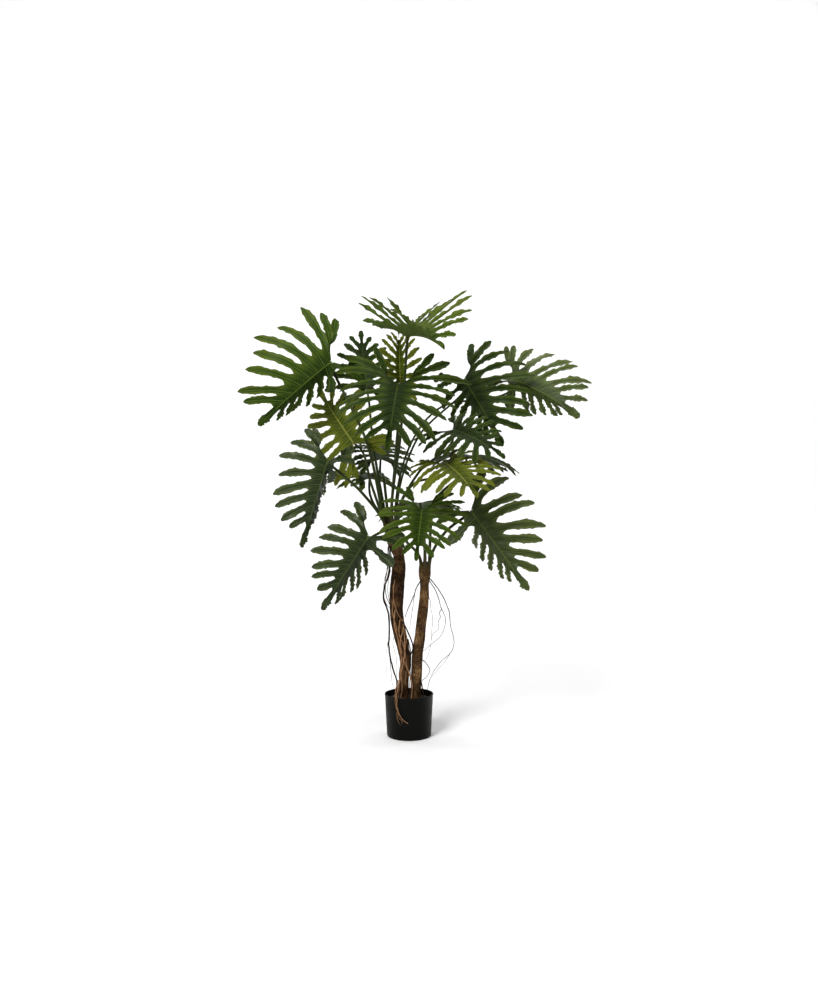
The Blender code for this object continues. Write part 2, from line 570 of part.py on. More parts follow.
def make_fill():
    low, high = FOOT_ROUND + 0.004, FILL_TOP - 0.002
    profile = [(0.0, POT_BASE + GAP), (POT_BASE_RADIUS - FOOT_ROUND - 0.001, POT_BASE + GAP),
               (inner_radius(low) - GAP - 0.0008, low), (inner_radius(high) - GAP - 0.0008, high - 0.002),
               (inner_radius(high) - 0.004, high), (0.045, FILL_TOP), (0.0, FILL_TOP)]
    points, faces = turned(profile, ROUND_SIDES)
    obj = new_object("fill", points, faces, "fill", smooth=True)
    for side in TRUNKS:
        foot, radius = trunk_at(side, FILL_TOP)
        low = np.array(TRUNKS[side]["axis"][0])
        ends = [(low[0], low[1], HOLE_FLOOR), (foot[0], foot[1], FILL_TOP + 0.01)]
        pts, fcs = tube(ends, [radius + 0.0012] * 2, 2 * TRUNK_SIDES)
        cut_away(obj, "hole_cut_" + side, (pts, fcs))
    return obj


def main():
    clear_scene()
    make_pot()
    make_fill()
    for side in TRUNKS:
        make_trunk(side)
    for number, leaf in enumerate(LEAVES, 1):
        make_stem("stem_%02d" % number, leaf)
        make_blade("blade_%02d" % number, leaf)
    total = sum(sum(len(p.vertices) - 2 for p in o.data.polygons) for o in bpy.data.objects)
    print("pieces", len(bpy.data.objects), "triangles", total)


main()
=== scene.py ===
# Potted artificial split-leaf philodendron: finer leaves, stalks, bark, roots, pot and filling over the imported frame.
# Metres, +Z up, the pot stands on z = 0 and -Y is the front.
import math

import bmesh
import bpy
import numpy as np
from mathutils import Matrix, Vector, noise


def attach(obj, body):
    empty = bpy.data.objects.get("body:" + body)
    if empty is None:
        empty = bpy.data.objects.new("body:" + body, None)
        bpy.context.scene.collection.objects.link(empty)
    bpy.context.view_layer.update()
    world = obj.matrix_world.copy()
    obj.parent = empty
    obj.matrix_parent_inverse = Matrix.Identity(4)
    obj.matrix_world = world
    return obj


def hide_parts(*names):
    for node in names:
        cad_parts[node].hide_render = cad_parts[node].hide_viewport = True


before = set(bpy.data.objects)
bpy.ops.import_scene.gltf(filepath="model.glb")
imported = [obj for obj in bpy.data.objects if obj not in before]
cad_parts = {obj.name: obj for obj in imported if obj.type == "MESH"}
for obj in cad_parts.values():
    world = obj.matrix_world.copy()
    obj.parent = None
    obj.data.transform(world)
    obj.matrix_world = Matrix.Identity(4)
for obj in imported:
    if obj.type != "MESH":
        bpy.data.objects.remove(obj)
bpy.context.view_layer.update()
print("frame loaded:", len(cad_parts), "nodes")


# small helpers for working as by hand
def leaveEdit():
    bpy.ops.object.mode_set(mode="OBJECT")


def deselectAll():
    if bpy.context.object and bpy.context.object.mode != "OBJECT":
        leaveEdit()
    bpy.ops.object.select_all(action="DESELECT")


def takeUp(obj):  # the only selected object, and the active one
    deselectAll()
    obj.select_set(True)
    bpy.context.view_layer.objects.active = obj


def pick(obj, test=None):  # goes into edit mode with all faces selected, or the edges that pass the test
    takeUp(obj)
    bpy.ops.object.mode_set(mode="EDIT")
    bpy.ops.mesh.select_mode(type="EDGE" if test else "FACE")
    bpy.ops.mesh.select_all(action="DESELECT" if test else "SELECT")
    if test:
        bm = bmesh.from_edit_mesh(obj.data)
        for edge in bm.edges:
            if test(edge):
                edge.select_set(True)
        bmesh.update_edit_mesh(obj.data)


def extrude(x, y, z, share=1.0):  # moves the new part of what is selected, and scales it across
    bpy.ops.mesh.extrude_region_move(TRANSFORM_OT_translate={"value": (x, y, z)})
    if share != 1.0:
        bpy.ops.transform.resize(value=(share, share, 1))


def newObject(name, mesh, materials=()):
    obj = bpy.data.objects.new(name, mesh)
    bpy.context.scene.collection.objects.link(obj)
    for material in materials:
        mesh.materials.append(material)
    return obj


def unit(v):
    return v / np.linalg.norm(v)


def runAlong(path):  # the distance of each station from the start
    return np.concatenate([[0.0], np.cumsum(np.linalg.norm(np.diff(path, axis=0), axis=1))])


def finishPiece(obj, name, finishes, slot, replaced=None, smoothAngle=None):
    obj.name = obj.data.name = name
    if finishes:
        obj.data.materials.clear()
    for finish in finishes:
        obj.data.materials.append(finish)
    takeUp(obj)
    if smoothAngle is None:
        bpy.ops.object.shade_smooth()
    else:
        bpy.ops.object.shade_smooth_by_angle(angle=math.radians(smoothAngle))
    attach(obj, "root")
    if replaced:
        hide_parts(replaced)


def ease(x, low=0.0, high=1.0):
    t = np.clip((np.asarray(x, float) - low) / (high - low), 0.0, 1.0)
    return t * t * (3 - 2 * t)


# shader maths as expressions
class Wire:
    def __init__(self, finish, socket):
        self.finish = finish
        self.socket = socket

    def calc(self, operation, *values):
        return self.finish.add("Math", {"operation": operation}, dict(enumerate(values)))

    def __add__(self, other):
        return self.calc("ADD", self, other)

    def __sub__(self, other):
        return self.calc("SUBTRACT", self, other)

    def __rsub__(self, other):
        return self.calc("SUBTRACT", other, self)

    def __mul__(self, other):
        return self.calc("MULTIPLY", self, other)

    __radd__ = __add__
    __rmul__ = __mul__

    def size(self):
        return self.calc("ABSOLUTE", self)

    def wave(self):
        return self.calc("SINE", self)

    def least(self, other):
        return self.calc("MINIMUM", self, other)

    def most(self, other):
        return self.calc("MAXIMUM", self, other)

    def step(self, low, high, start=0.0, end=1.0):
        return self.finish.add("MapRange", {"interpolation_type": "SMOOTHSTEP"},
                               {"Value": self, "From Min": low, "From Max": high, "To Min": start, "To Max": end})


class Finish:
    def __init__(self, name, **fixed):
        self.material = bpy.data.materials.new(name)
        self.material.use_nodes = True
        self.tree = self.material.node_tree
        self.shader = self.tree.nodes["Principled BSDF"]
        for socket, value in fixed.items():
            self.shader.inputs[socket.replace("_", " ")].default_value = value

    def put(self, socket, value):
        if isinstance(value, Wire):
            self.tree.links.new(value.socket, socket)
        elif isinstance(value, tuple) and len(value) == 3 and socket.type == "RGBA":
            socket.default_value = (*value, 1.0)
        else:
            socket.default_value = value

    def add(self, kind, settings=None, values=None, out=0):
        node = self.tree.nodes.new("ShaderNode" + kind)
        for key, value in (settings or {}).items():
            setattr(node, key, value)
        for key, value in (values or {}).items():
            self.put(node.inputs[key], value)
        return Wire(self, node.outputs[out])

    def mix(self, share, first, second):
        return self.add("Mix", {"data_type": "RGBA"}, {0: share, 6: first, 7: second}, 2)

    def spot(self, scale=(1.0, 1.0, 1.0)):  # the place on the object, stretched
        where = self.add("TexCoord", None, None, "Object")
        return self.add("Mapping", None, {"Vector": where, "Scale": scale})

    def flow(self, name):  # the two numbers of the piece's own map
        pair = self.add("UVMap", {"uv_map": name})
        return (self.add("SeparateXYZ", None, {0: pair}, 0), self.add("SeparateXYZ", None, {0: pair}, 1))

    def cloud(self, scale, detail=3.0, rough=0.55, where=None):
        return self.add("TexNoise", {"noise_type": "FBM"},
                        {"Vector": where or self.spot(), "Scale": scale, "Detail": detail, "Roughness": rough})

    def bump(self, height, distance, strength=1.0):
        normal = self.add("Bump", None, {"Height": height, "Distance": distance, "Strength": strength})
        self.put(self.shader.inputs["Normal"], normal)

    def set(self, **linked):
        for socket, value in linked.items():
            self.put(self.shader.inputs[socket.replace("_", " ")], value)
        return self.material


# camera at the photograph's place, soft studio light, pale sweep
studio = {"eye": (0.0, -3.6, 0.97), "aim": (0.0, 0.0, 0.8), "lens": 38.6, "floor": 9.0, "air": 0.2,
          "backdrop": 5.0, "turn": 0.3, "white": (0.94, 0.94, 0.94), "grain": (0.93, 0.93, 0.93)}


def lookAt(obj, place, aim):
    obj.rotation_euler = (Vector(aim) - Vector(place)).to_track_quat("-Z", "Y").to_euler()


def makeStudio():
    bpy.ops.object.camera_add(location=studio["eye"])
    camera = bpy.context.object
    camera.name = "camera"
    camera.data.lens = studio["lens"]
    camera.data.sensor_width = 36.0
    lookAt(camera, studio["eye"], studio["aim"])
    camera.data.clip_end = 60.0
    bpy.context.scene.camera = camera
    bpy.context.scene.view_settings.view_transform = "Standard"

    lamps = (("key", (-1.6, -3.0, 3.4), (0, 0, 0.9), 1.5, 190.0), ("fill", (2.6, -2.8, 2.0), (0, 0, 0.8), 2.4, 22.0),
             ("top", (0.3, 0.4, 4.2), (0, 0, 0.8), 1.6, 62.0),
             ("wall_left", (-3.0, 1.9, 4.4), (-2.5, 6, 1.4), 2.2, 140.0),
             ("wall_right", (3.0, 1.9, 4.4), (2.5, 6, 1.4), 2.2, 140.0))
    for name, place, aim, size, power in lamps:
        bpy.ops.object.light_add(type="AREA", location=place)
        lamp = bpy.context.object
        lamp.name = "lamp_" + name
        lamp.data.shape = "SQUARE"
        lamp.data.size = size
        lamp.data.energy = power
        lookAt(lamp, place, aim)
    world = bpy.data.worlds.new("studio_air")
    bpy.context.scene.world = world
    world.use_nodes = True
    air = world.node_tree.nodes["Background"].inputs
    air["Color"].default_value = (1.0, 1.0, 1.0, 1.0)
    air["Strength"].default_value = studio["air"]

    deselectAll()
    bpy.ops.mesh.primitive_plane_add(size=studio["floor"], location=(0, 0, -0.0005))
    floor = bpy.context.object
    pick(floor, lambda e: all(v.co.y > 1 for v in e.verts))  # the far edge rises into a backdrop
    for turn in range(8):
        angle = math.radians(11.25 * (turn + 0.5))
        extrude(0, studio["turn"] * math.cos(angle), studio["turn"] * math.sin(angle))
    extrude(0, 0, studio["backdrop"])
    leaveEdit()
    takeUp(floor)
    bpy.ops.object.transform_apply(location=True, rotation=True, scale=True)
    floor.name = floor.data.name = "floor"
    bpy.ops.object.shade_smooth()
    paper = Finish("paper_sweep", Roughness=0.85)
    grain = paper.cloud(2.0)
    colour = paper.mix(grain.step(0.3, 0.7), studio["white"], studio["grain"])
    floor.data.materials.append(paper.set(Base_Color=colour))


makeStudio()
print("studio ready")

# pot: thin-walled black nursery pot
pot = {"height": 0.145, "topRadius": 0.0815, "baseRadius": 0.075, "wall": 0.0022, "floor": 0.003,
       "rimWidth": 0.0012, "rimDepth": 0.0045, "foot": 0.006, "sides": 96, "black": (0.0028, 0.0029, 0.0021),
       "worn_and_highlight": (0.012, 0.012, 0.01), "roughness": 0.42}


def makePot():
    deselectAll()
    bpy.ops.mesh.primitive_circle_add(vertices=pot["sides"], radius=pot["baseRadius"] - pot["foot"], fill_type="NGON")
    obj = bpy.context.object
    top, base, wall, height = pot["topRadius"], pot["baseRadius"], pot["wall"], pot["height"]
    rim = height - pot["rimDepth"]
    lip = top + pot["rimWidth"]
    foot = pot["foot"]
    rise = [(base - 0.003, 0.0005), (base - 0.001, 0.0022), (base, foot)]
    for share in (0.25, 0.5, 0.75):  # three faint moulding steps up the side
        level = foot + (rim - foot) * share
        radius = base + (top - base) * share
        rise += [(radius - 0.0001, level - 0.0004), (radius + 0.0002, level + 0.0004)]
    rise += [(top, rim - 0.0006), (top + 0.0004, rim), (lip - 0.0002, rim + 0.0003), (lip, rim + 0.001),
             (lip, height - 0.0016), (lip - 0.0006, height - 0.0005), (lip - 0.0017, height),
             (top - wall + 0.001, height), (top - wall + 0.0002, height - 0.0006), (top - wall, height - 0.002),
             (base - wall, 0.008), (base - wall - 0.002, pot["floor"] + 0.001),
             (base - wall - foot, pot["floor"])]
    pick(obj)
    radius, level = base - foot, 0.0
    for nextRadius, nextLevel in rise:
        extrude(0, 0, nextLevel - level, nextRadius / radius)
        radius, level = nextRadius, nextLevel
    bpy.ops.mesh.select_all(action="SELECT")
    bpy.ops.mesh.normals_make_consistent(inside=False)
    leaveEdit()

    black = Finish("satin_black_plastic", Roughness=pot["roughness"], Specular_IOR_Level=0.06)
    grain, blotch = black.cloud(900.0, 2.0), black.cloud(22.0, 4.0, 0.6)
    scuff = black.cloud(60.0, 5.0, 0.7, black.spot((1.0, 1.0, 0.15))).step(0.58, 0.74)
    height = black.add("SeparateXYZ", None, {0: black.add("TexCoord", None, None, "Object")}, 2)
    # the top 4 mm of the pot lighter: a painted highlight along the rim, mixed with the scuffs toward the paler colour
    rim_highlight = height.step(pot["height"] - 0.004, pot["height"]) * 0.5
    colour = black.mix((scuff * 0.45 + rim_highlight).least(1.0), pot["black"], pot["worn_and_highlight"])
    black.bump(grain * 0.6 + blotch * 0.4, 0.0004, 0.35)
    black.set(Base_Color=colour, Roughness=blotch.step(0.3, 0.7, 0.36, 0.48) + scuff * 0.1)
    finishPiece(obj, "pot_shell", [black.material], "pot", "pot", 35)


makePot()
print("pot made")

# filling: dark bark mulch pressed round the trunks
fill = {"top": 0.1255, "bottom": 0.005, "radius": 0.0762, "baseRadius": 0.0714, "rings": 34, "crumbs": 420, "seed": 12,
        "foot": 0.006, "footIn": 0.004, "spread": 0.071, "lift": 0.0012, "trunkSpots": ((-0.019, 0.0), (0.022, 0.002)),
        "trunkRoom": 0.019,
        "dark": (0.014, 0.01, 0.007), "brown": (0.06, 0.036, 0.02), "pale": (0.13, 0.09, 0.055)}


def soilFinish(name, bright):
    soil = Finish(name, Roughness=0.92, Specular_IOR_Level=0.25)
    lump, fine = soil.cloud(90.0, 5.0, 0.7), soil.cloud(420.0, 4.0, 0.7)
    fleck = fine.step(0.6, 0.68)
    base = soil.mix(lump.step(0.35, 0.7), fill["dark"], fill["brown"])
    colour = soil.mix(fleck * bright, base, fill["pale"])
    soil.bump(lump * 0.6 + fine * 0.4, 0.0025, 0.9)
    return soil.set(Base_Color=colour)


def makeFill():
    rng = np.random.default_rng(fill["seed"])
    deselectAll()
    bpy.ops.mesh.primitive_circle_add(vertices=96, radius=fill["baseRadius"] - fill["footIn"], fill_type="NGON",
                                      location=(0, 0, fill["bottom"]))
    obj = bpy.context.object
    pick(obj)
    extrude(0, 0, fill["foot"], fill["baseRadius"] / (fill["baseRadius"] - fill["footIn"]))
    extrude(0, 0, fill["top"] - fill["bottom"] - fill["foot"], fill["radius"] / fill["baseRadius"])
    for ring in range(fill["rings"]):
        bpy.ops.mesh.inset(thickness=(fill["radius"] - 0.002) / fill["rings"] * 0.98)
    bpy.ops.mesh.select_all(action="SELECT")
    bpy.ops.mesh.normals_make_consistent(inside=False)
    leaveEdit()
    takeUp(obj)
    bpy.ops.object.transform_apply(location=True, rotation=True, scale=True)
    for v in obj.data.vertices:
        if v.co.z > fill["top"] - 0.001:
            reach = math.hypot(v.co.x, v.co.y)
            edge = 1.0 - ease(reach, 0.066, fill["radius"])
            big = noise.fractal(v.co * 45.0, 1.0, 2.0, 3)
            small = noise.noise(v.co * 260.0)
            v.co.z += edge * (0.0014 * big + 0.0012 * small + 0.0012) - (1 - edge) * 0.002
    finishPiece(obj, "fill_mulch", [soilFinish("dark_mulch", 0.35)], "fill", "fill")

    crumbs = bmesh.new()  # loose bark crumbs lying on the mulch
    for n in range(fill["crumbs"]):
        reach = fill["spread"] * math.sqrt(rng.uniform(0.0, 1.0))
        angle = rng.uniform(0, 2 * math.pi)
        x, y = reach * math.cos(angle), reach * math.sin(angle)
        if min(math.hypot(x - a, y - b) for a, b in fill["trunkSpots"]) < fill["trunkRoom"]:
            continue
        size = rng.uniform(0.0012, 0.0036) * (1.5 if n % 9 == 0 else 1.0)
        made = bmesh.ops.create_icosphere(crumbs, subdivisions=1, radius=1.0)["verts"]
        stretch = Vector((rng.uniform(0.7, 1.9), rng.uniform(0.5, 1.0), rng.uniform(0.35, 0.7)))
        spin = rng.uniform(0, math.pi)
        for v in made:
            v.co *= rng.uniform(0.75, 1.2)
            p = v.co * stretch * size
            v.co = Vector((x + p.x * math.cos(spin) - p.y * math.sin(spin),
                           y + p.x * math.sin(spin) + p.y * math.cos(spin), fill["top"] + fill["lift"] + p.z))
    mesh = bpy.data.meshes.new("fill_crumbs")
    crumbs.to_mesh(mesh)
    crumbs.free()
    bark = soilFinish("loose_bark_crumbs", 0.8)
    finishPiece(newObject("fill_crumbs", mesh), "fill_crumbs", [bark], "fill", smoothAngle=30)


makeFill()
print("filling made")


# long round things: a capped cylinder with cuts along it, then laid along a path
def roundStock(sides, cuts):
    deselectAll()
    bpy.ops.mesh.primitive_cylinder_add(vertices=sides, radius=1.0, depth=1.0, end_fill_type="TRIFAN", calc_uvs=False)
    obj = bpy.context.object
    pick(obj, lambda e: abs(e.verts[0].co.z - e.verts[1].co.z) > 0.5)
    bpy.ops.mesh.subdivide(number_cuts=cuts)
    leaveEdit()
    return obj


def smoothPath(knots, steps):  # a smooth curve through the knots that doesn't swing out where spans differ
    knots = [np.array(k, float) for k in knots]
    spans = [np.linalg.norm(b - a) for a, b in zip(knots, knots[1:])]
    rates = [(b - a) / d for a, b, d in zip(knots, knots[1:], spans)]
    slopes = [(a * far + b * near) / (near + far) for a, b, near, far in zip(rates, rates[1:], spans, spans[1:])]
    slopes = [rates[0], *slopes, rates[-1]]
    path = []
    for i, span in enumerate(spans):
        for k in range(steps):
            t = k / steps
            path.append(knots[i] * (1 + 2 * t) * (1 - t) ** 2 + knots[i + 1] * t * t * (3 - 2 * t)
                        + (slopes[i] * (1 - t) - slopes[i + 1] * t) * t * (1 - t) * span)
    return np.array(path + [knots[-1]])


def pathFrames(path):  # the two directions across the path at each station, without twist
    firsts, others = [], []
    across = None
    for i in range(len(path)):
        way = unit(path[min(i + 1, len(path) - 1)] - path[max(i - 1, 0)])
        if across is None:
            across = np.array((1.0, 0.0, 0.0)) if abs(way[0]) < 0.9 else np.array((0.0, 1.0, 0.0))
        across = unit(across - way * (across @ way))
        firsts.append(across)
        others.append(np.cross(way, across))
    return np.array(firsts), np.array(others)


def layAlong(obj, path, radii, surface):  # surface(station, angle, point) scales the radius there
    firsts, others = pathFrames(path)
    last = len(path) - 1
    run = runAlong(path)
    stations, angles = {}, {}
    for v in obj.data.vertices:
        i = int(round((v.co.z + 0.5) * last))
        reach = math.hypot(v.co.x, v.co.y)
        angle = math.atan2(v.co.y, v.co.x)
        side = firsts[i] * math.cos(angle) + others[i] * math.sin(angle)
        point = path[i] + side * radii[i] * reach
        if reach > 0.5:
            point = path[i] + side * radii[i] * surface(i, angle, point)
        stations[v.index], angles[v.index] = run[i], angle
        v.co = point
    layer = obj.data.uv_layers.new(name="lengthways")
    for face in obj.data.polygons:
        turns = [angles[k] for k in face.vertices]
        wrap = max(turns) - min(turns) > math.pi
        for loop in face.loop_indices:
            k = obj.data.loops[loop].vertex_index
            angle = angles[k] + (2 * math.pi if wrap and angles[k] < 0 else 0.0)
            layer.data[loop].uv = (angle / (2 * math.pi), stations[k])
    obj.data.update()
    return obj


def lumps(p, across, along, shift):  # an uneven surface, stretched along z
    return noise.fractal(Vector((p.x * across, p.y * across, p.z * along)) + shift, 1.0, 2.0, 3)


def joinUp(pieces):
    deselectAll()
    for piece in pieces:
        piece.select_set(True)
    bpy.context.view_layer.objects.active = pieces[0]
    bpy.ops.object.join()
    return pieces[0]


# trunks: the axis from the foot up, with the radius at each point, in mm here and then in metres
trunks = {
    "left": {"axis": ((-20, 0, 30.4), (-19, 0, 131), (-17, -4, 205), (-13, -6, 255), (-20, -4, 302), (-37, 0, 376),
                      (-43, 2, 447), (-39, 2, 514), (-34, 1, 575), (-36, 0, 620), (-52, 0, 665), (-61, 0, 712)),
             "radius": (17, 17, 17.5, 18, 20, 22.5, 23, 24, 22.5, 17.5, 13.5, 11.5),
             "crevice": (0.004, 0.002, 0.001), "bark": (0.047, 0.023, 0.009), "ridge": (0.16, 0.083, 0.034),
             "bands": 0.25, "cracks": 0.52, "rough": 0.0016},
    "right": {"axis": ((22, 2, 30.4), (22, 2, 131), (25, 2, 205), (29, 3, 279), (36, 4, 329), (41, 4, 376),
                       (47, 3, 427), (51, 2, 477), (53, 1, 540), (54, 0, 592)),
              "radius": (17.5, 18, 18.5, 18.5, 18, 17.5, 17, 16, 12.5, 8.5),
              "crevice": (0.008, 0.004, 0.002), "bark": (0.12, 0.062, 0.024), "ridge": (0.28, 0.16, 0.066),
              "bands": 0.45, "cracks": 0.3, "rough": 0.0011},
}
for trunk in trunks.values():
    for key in ("axis", "radius"):
        trunk[key] = np.array(trunk[key]) / 1000


def trunkAt(side, height):
    x, y, z = trunks[side]["axis"].T
    centre = np.array((np.interp(height, z, x), np.interp(height, z, y), height))
    return centre, np.interp(height, z, trunks[side]["radius"])


def barkFinish(side):
    trunk = trunks[side]
    bark = Finish("bark_" + side, Roughness=0.82, Specular_IOR_Level=0.06)
    along = bark.flow("lengthways")[1]
    fibre = bark.cloud(1.0, 5.0, 0.7, bark.spot((420.0, 420.0, 60.0)))
    patch = bark.cloud(26.0, 4.0, 0.6)
    fine = bark.cloud(520.0, 3.0, 0.65)
    drift = bark.cloud(30.0, 3.0) * 9.0
    band = (along * 1150.0 + drift).wave().step(-0.35, 0.9)
    fissure = bark.add("TexVoronoi", {"feature": "DISTANCE_TO_EDGE"},
                       {"Vector": bark.spot((230.0, 230.0, 70.0)), "Scale": 1.0}).step(0.02, 0.16)
    relief = fibre * 0.4 + fine * 0.2 + band * (0.35 * trunk["bands"]) + fissure * trunk["cracks"]
    tone = bark.mix(relief.step(0.08 + 0.6 * trunk["cracks"], 0.98), trunk["crevice"], trunk["bark"])
    colour = bark.mix((patch.step(0.42, 0.66) * fibre.step(0.4, 0.62)), tone, trunk["ridge"])
    crown = along.step(0.5, 0.62)  # darker towards the crown
    colour = bark.mix(crown * (0.55 if side == "left" else 0.15), colour, trunk["crevice"])
    bark.bump(relief, 0.0016, 0.9)
    return bark.set(Base_Color=colour, Roughness=fibre.step(0.3, 0.7, 0.7, 0.92))


def makeTrunk(side):
    trunk = trunks[side]
    path = smoothPath(trunk["axis"], 18)
    radii = np.interp(path[:, 2], trunk["axis"][:, 2], trunk["radius"])
    top = path[-1][2]
    offset = Vector((0.0, 0.0, 3.0 if side == "left" else 11.0))

    def barkSwell(i, angle, point):
        p = Vector(point)
        level = point[2]
        plain = ease(level, 0.12, 0.145) * (1.0 - 0.6 * ease(level, top - 0.09, top - 0.04))
        lump = lumps(p, 42, 20, offset)
        strip = lumps(p, 170, 24, offset)
        ring = math.sin(level * 640 + 3.0 * noise.noise(p * 30)) * trunk["bands"]
        depth = trunk["rough"] * (0.9 * lump + 0.9 * strip) + 0.00045 * ring
        return 1.0 + plain * depth / radii[i]

    obj = layAlong(roundStock(64, len(path) - 2), path, radii, barkSwell)
    finishPiece(obj, "trunk_" + side + "_bark", [barkFinish(side)], "trunk_" + side, "trunk_" + side)


for side in trunks:
    makeTrunk(side)
print("trunks made")

# fibrous sheaths round the crowns, where the stalks leave the trunks: the heights (m) and how far they stand out
crowns = {"left": {"levels": (0.612, 0.63, 0.648, 0.668, 0.69, 0.704, 0.711),
                   "out": (-0.0005, 0.0035, 0.0082, 0.0098, 0.01, 0.007, -0.006)},
          "right": {"levels": (0.5, 0.52, 0.54, 0.56, 0.576, 0.585, 0.591),
                    "out": (-0.0005, 0.002, 0.0066, 0.0094, 0.0098, 0.007, -0.005)},
          "green": (0.034, 0.034, 0.01), "brown": (0.08, 0.042, 0.016), "pale": (0.19, 0.108, 0.044)}


def crownFinish():
    husk = Finish("crown_husk", Roughness=0.8, Specular_IOR_Level=0.06)
    around, along = husk.flow("lengthways")
    fibre = husk.cloud(1.0, 5.0, 0.7, husk.add("CombineXYZ", None, {0: around * 60.0, 1: along * 26.0}))
    patch = husk.cloud(60.0, 4.0, 0.6)
    tint = husk.mix(fibre.step(0.3, 0.62), (0.012, 0.008, 0.004), crowns["brown"])
    tint = husk.mix((patch.step(0.45, 0.66) * fibre.step(0.4, 0.62)), tint, crowns["pale"])
    tint = husk.mix(along.step(0.05, 0.09) * 0.6, tint, crowns["green"])
    husk.bump(fibre, 0.0015, 0.9)
    return husk.set(Base_Color=tint, Roughness=fibre.step(0.3, 0.7, 0.7, 0.9))


def makeCrown(side, husk):
    own = crowns[side]
    levels = np.linspace(own["levels"][0], own["levels"][-1], 30)
    path = np.array([trunkAt(side, h)[0] for h in levels])
    radii = [trunkAt(side, h)[1] + np.interp(h, own["levels"], own["out"]) for h in levels]
    seed = Vector((0.0, 0.0, 5.0 if side == "left" else 9.0))

    def ridges(i, angle, point):
        p = Vector(point)
        share = i / (len(levels) - 1)
        fibre = lumps(p, 150, 26, seed)
        lobes = 0.06 * math.sin(6 * angle + (0.0 if side == "left" else 0.5)) * share
        return 1.0 + 0.055 * fibre * (0.3 + share) + lobes

    sheath = layAlong(roundStock(72, len(levels) - 2), path, radii, ridges)
    finishPiece(sheath, "crown_" + side + "_husk", [husk], "trunk_" + side)


husk = crownFinish()
for side in trunks:
    makeCrown(side, husk)
print("crowns made")

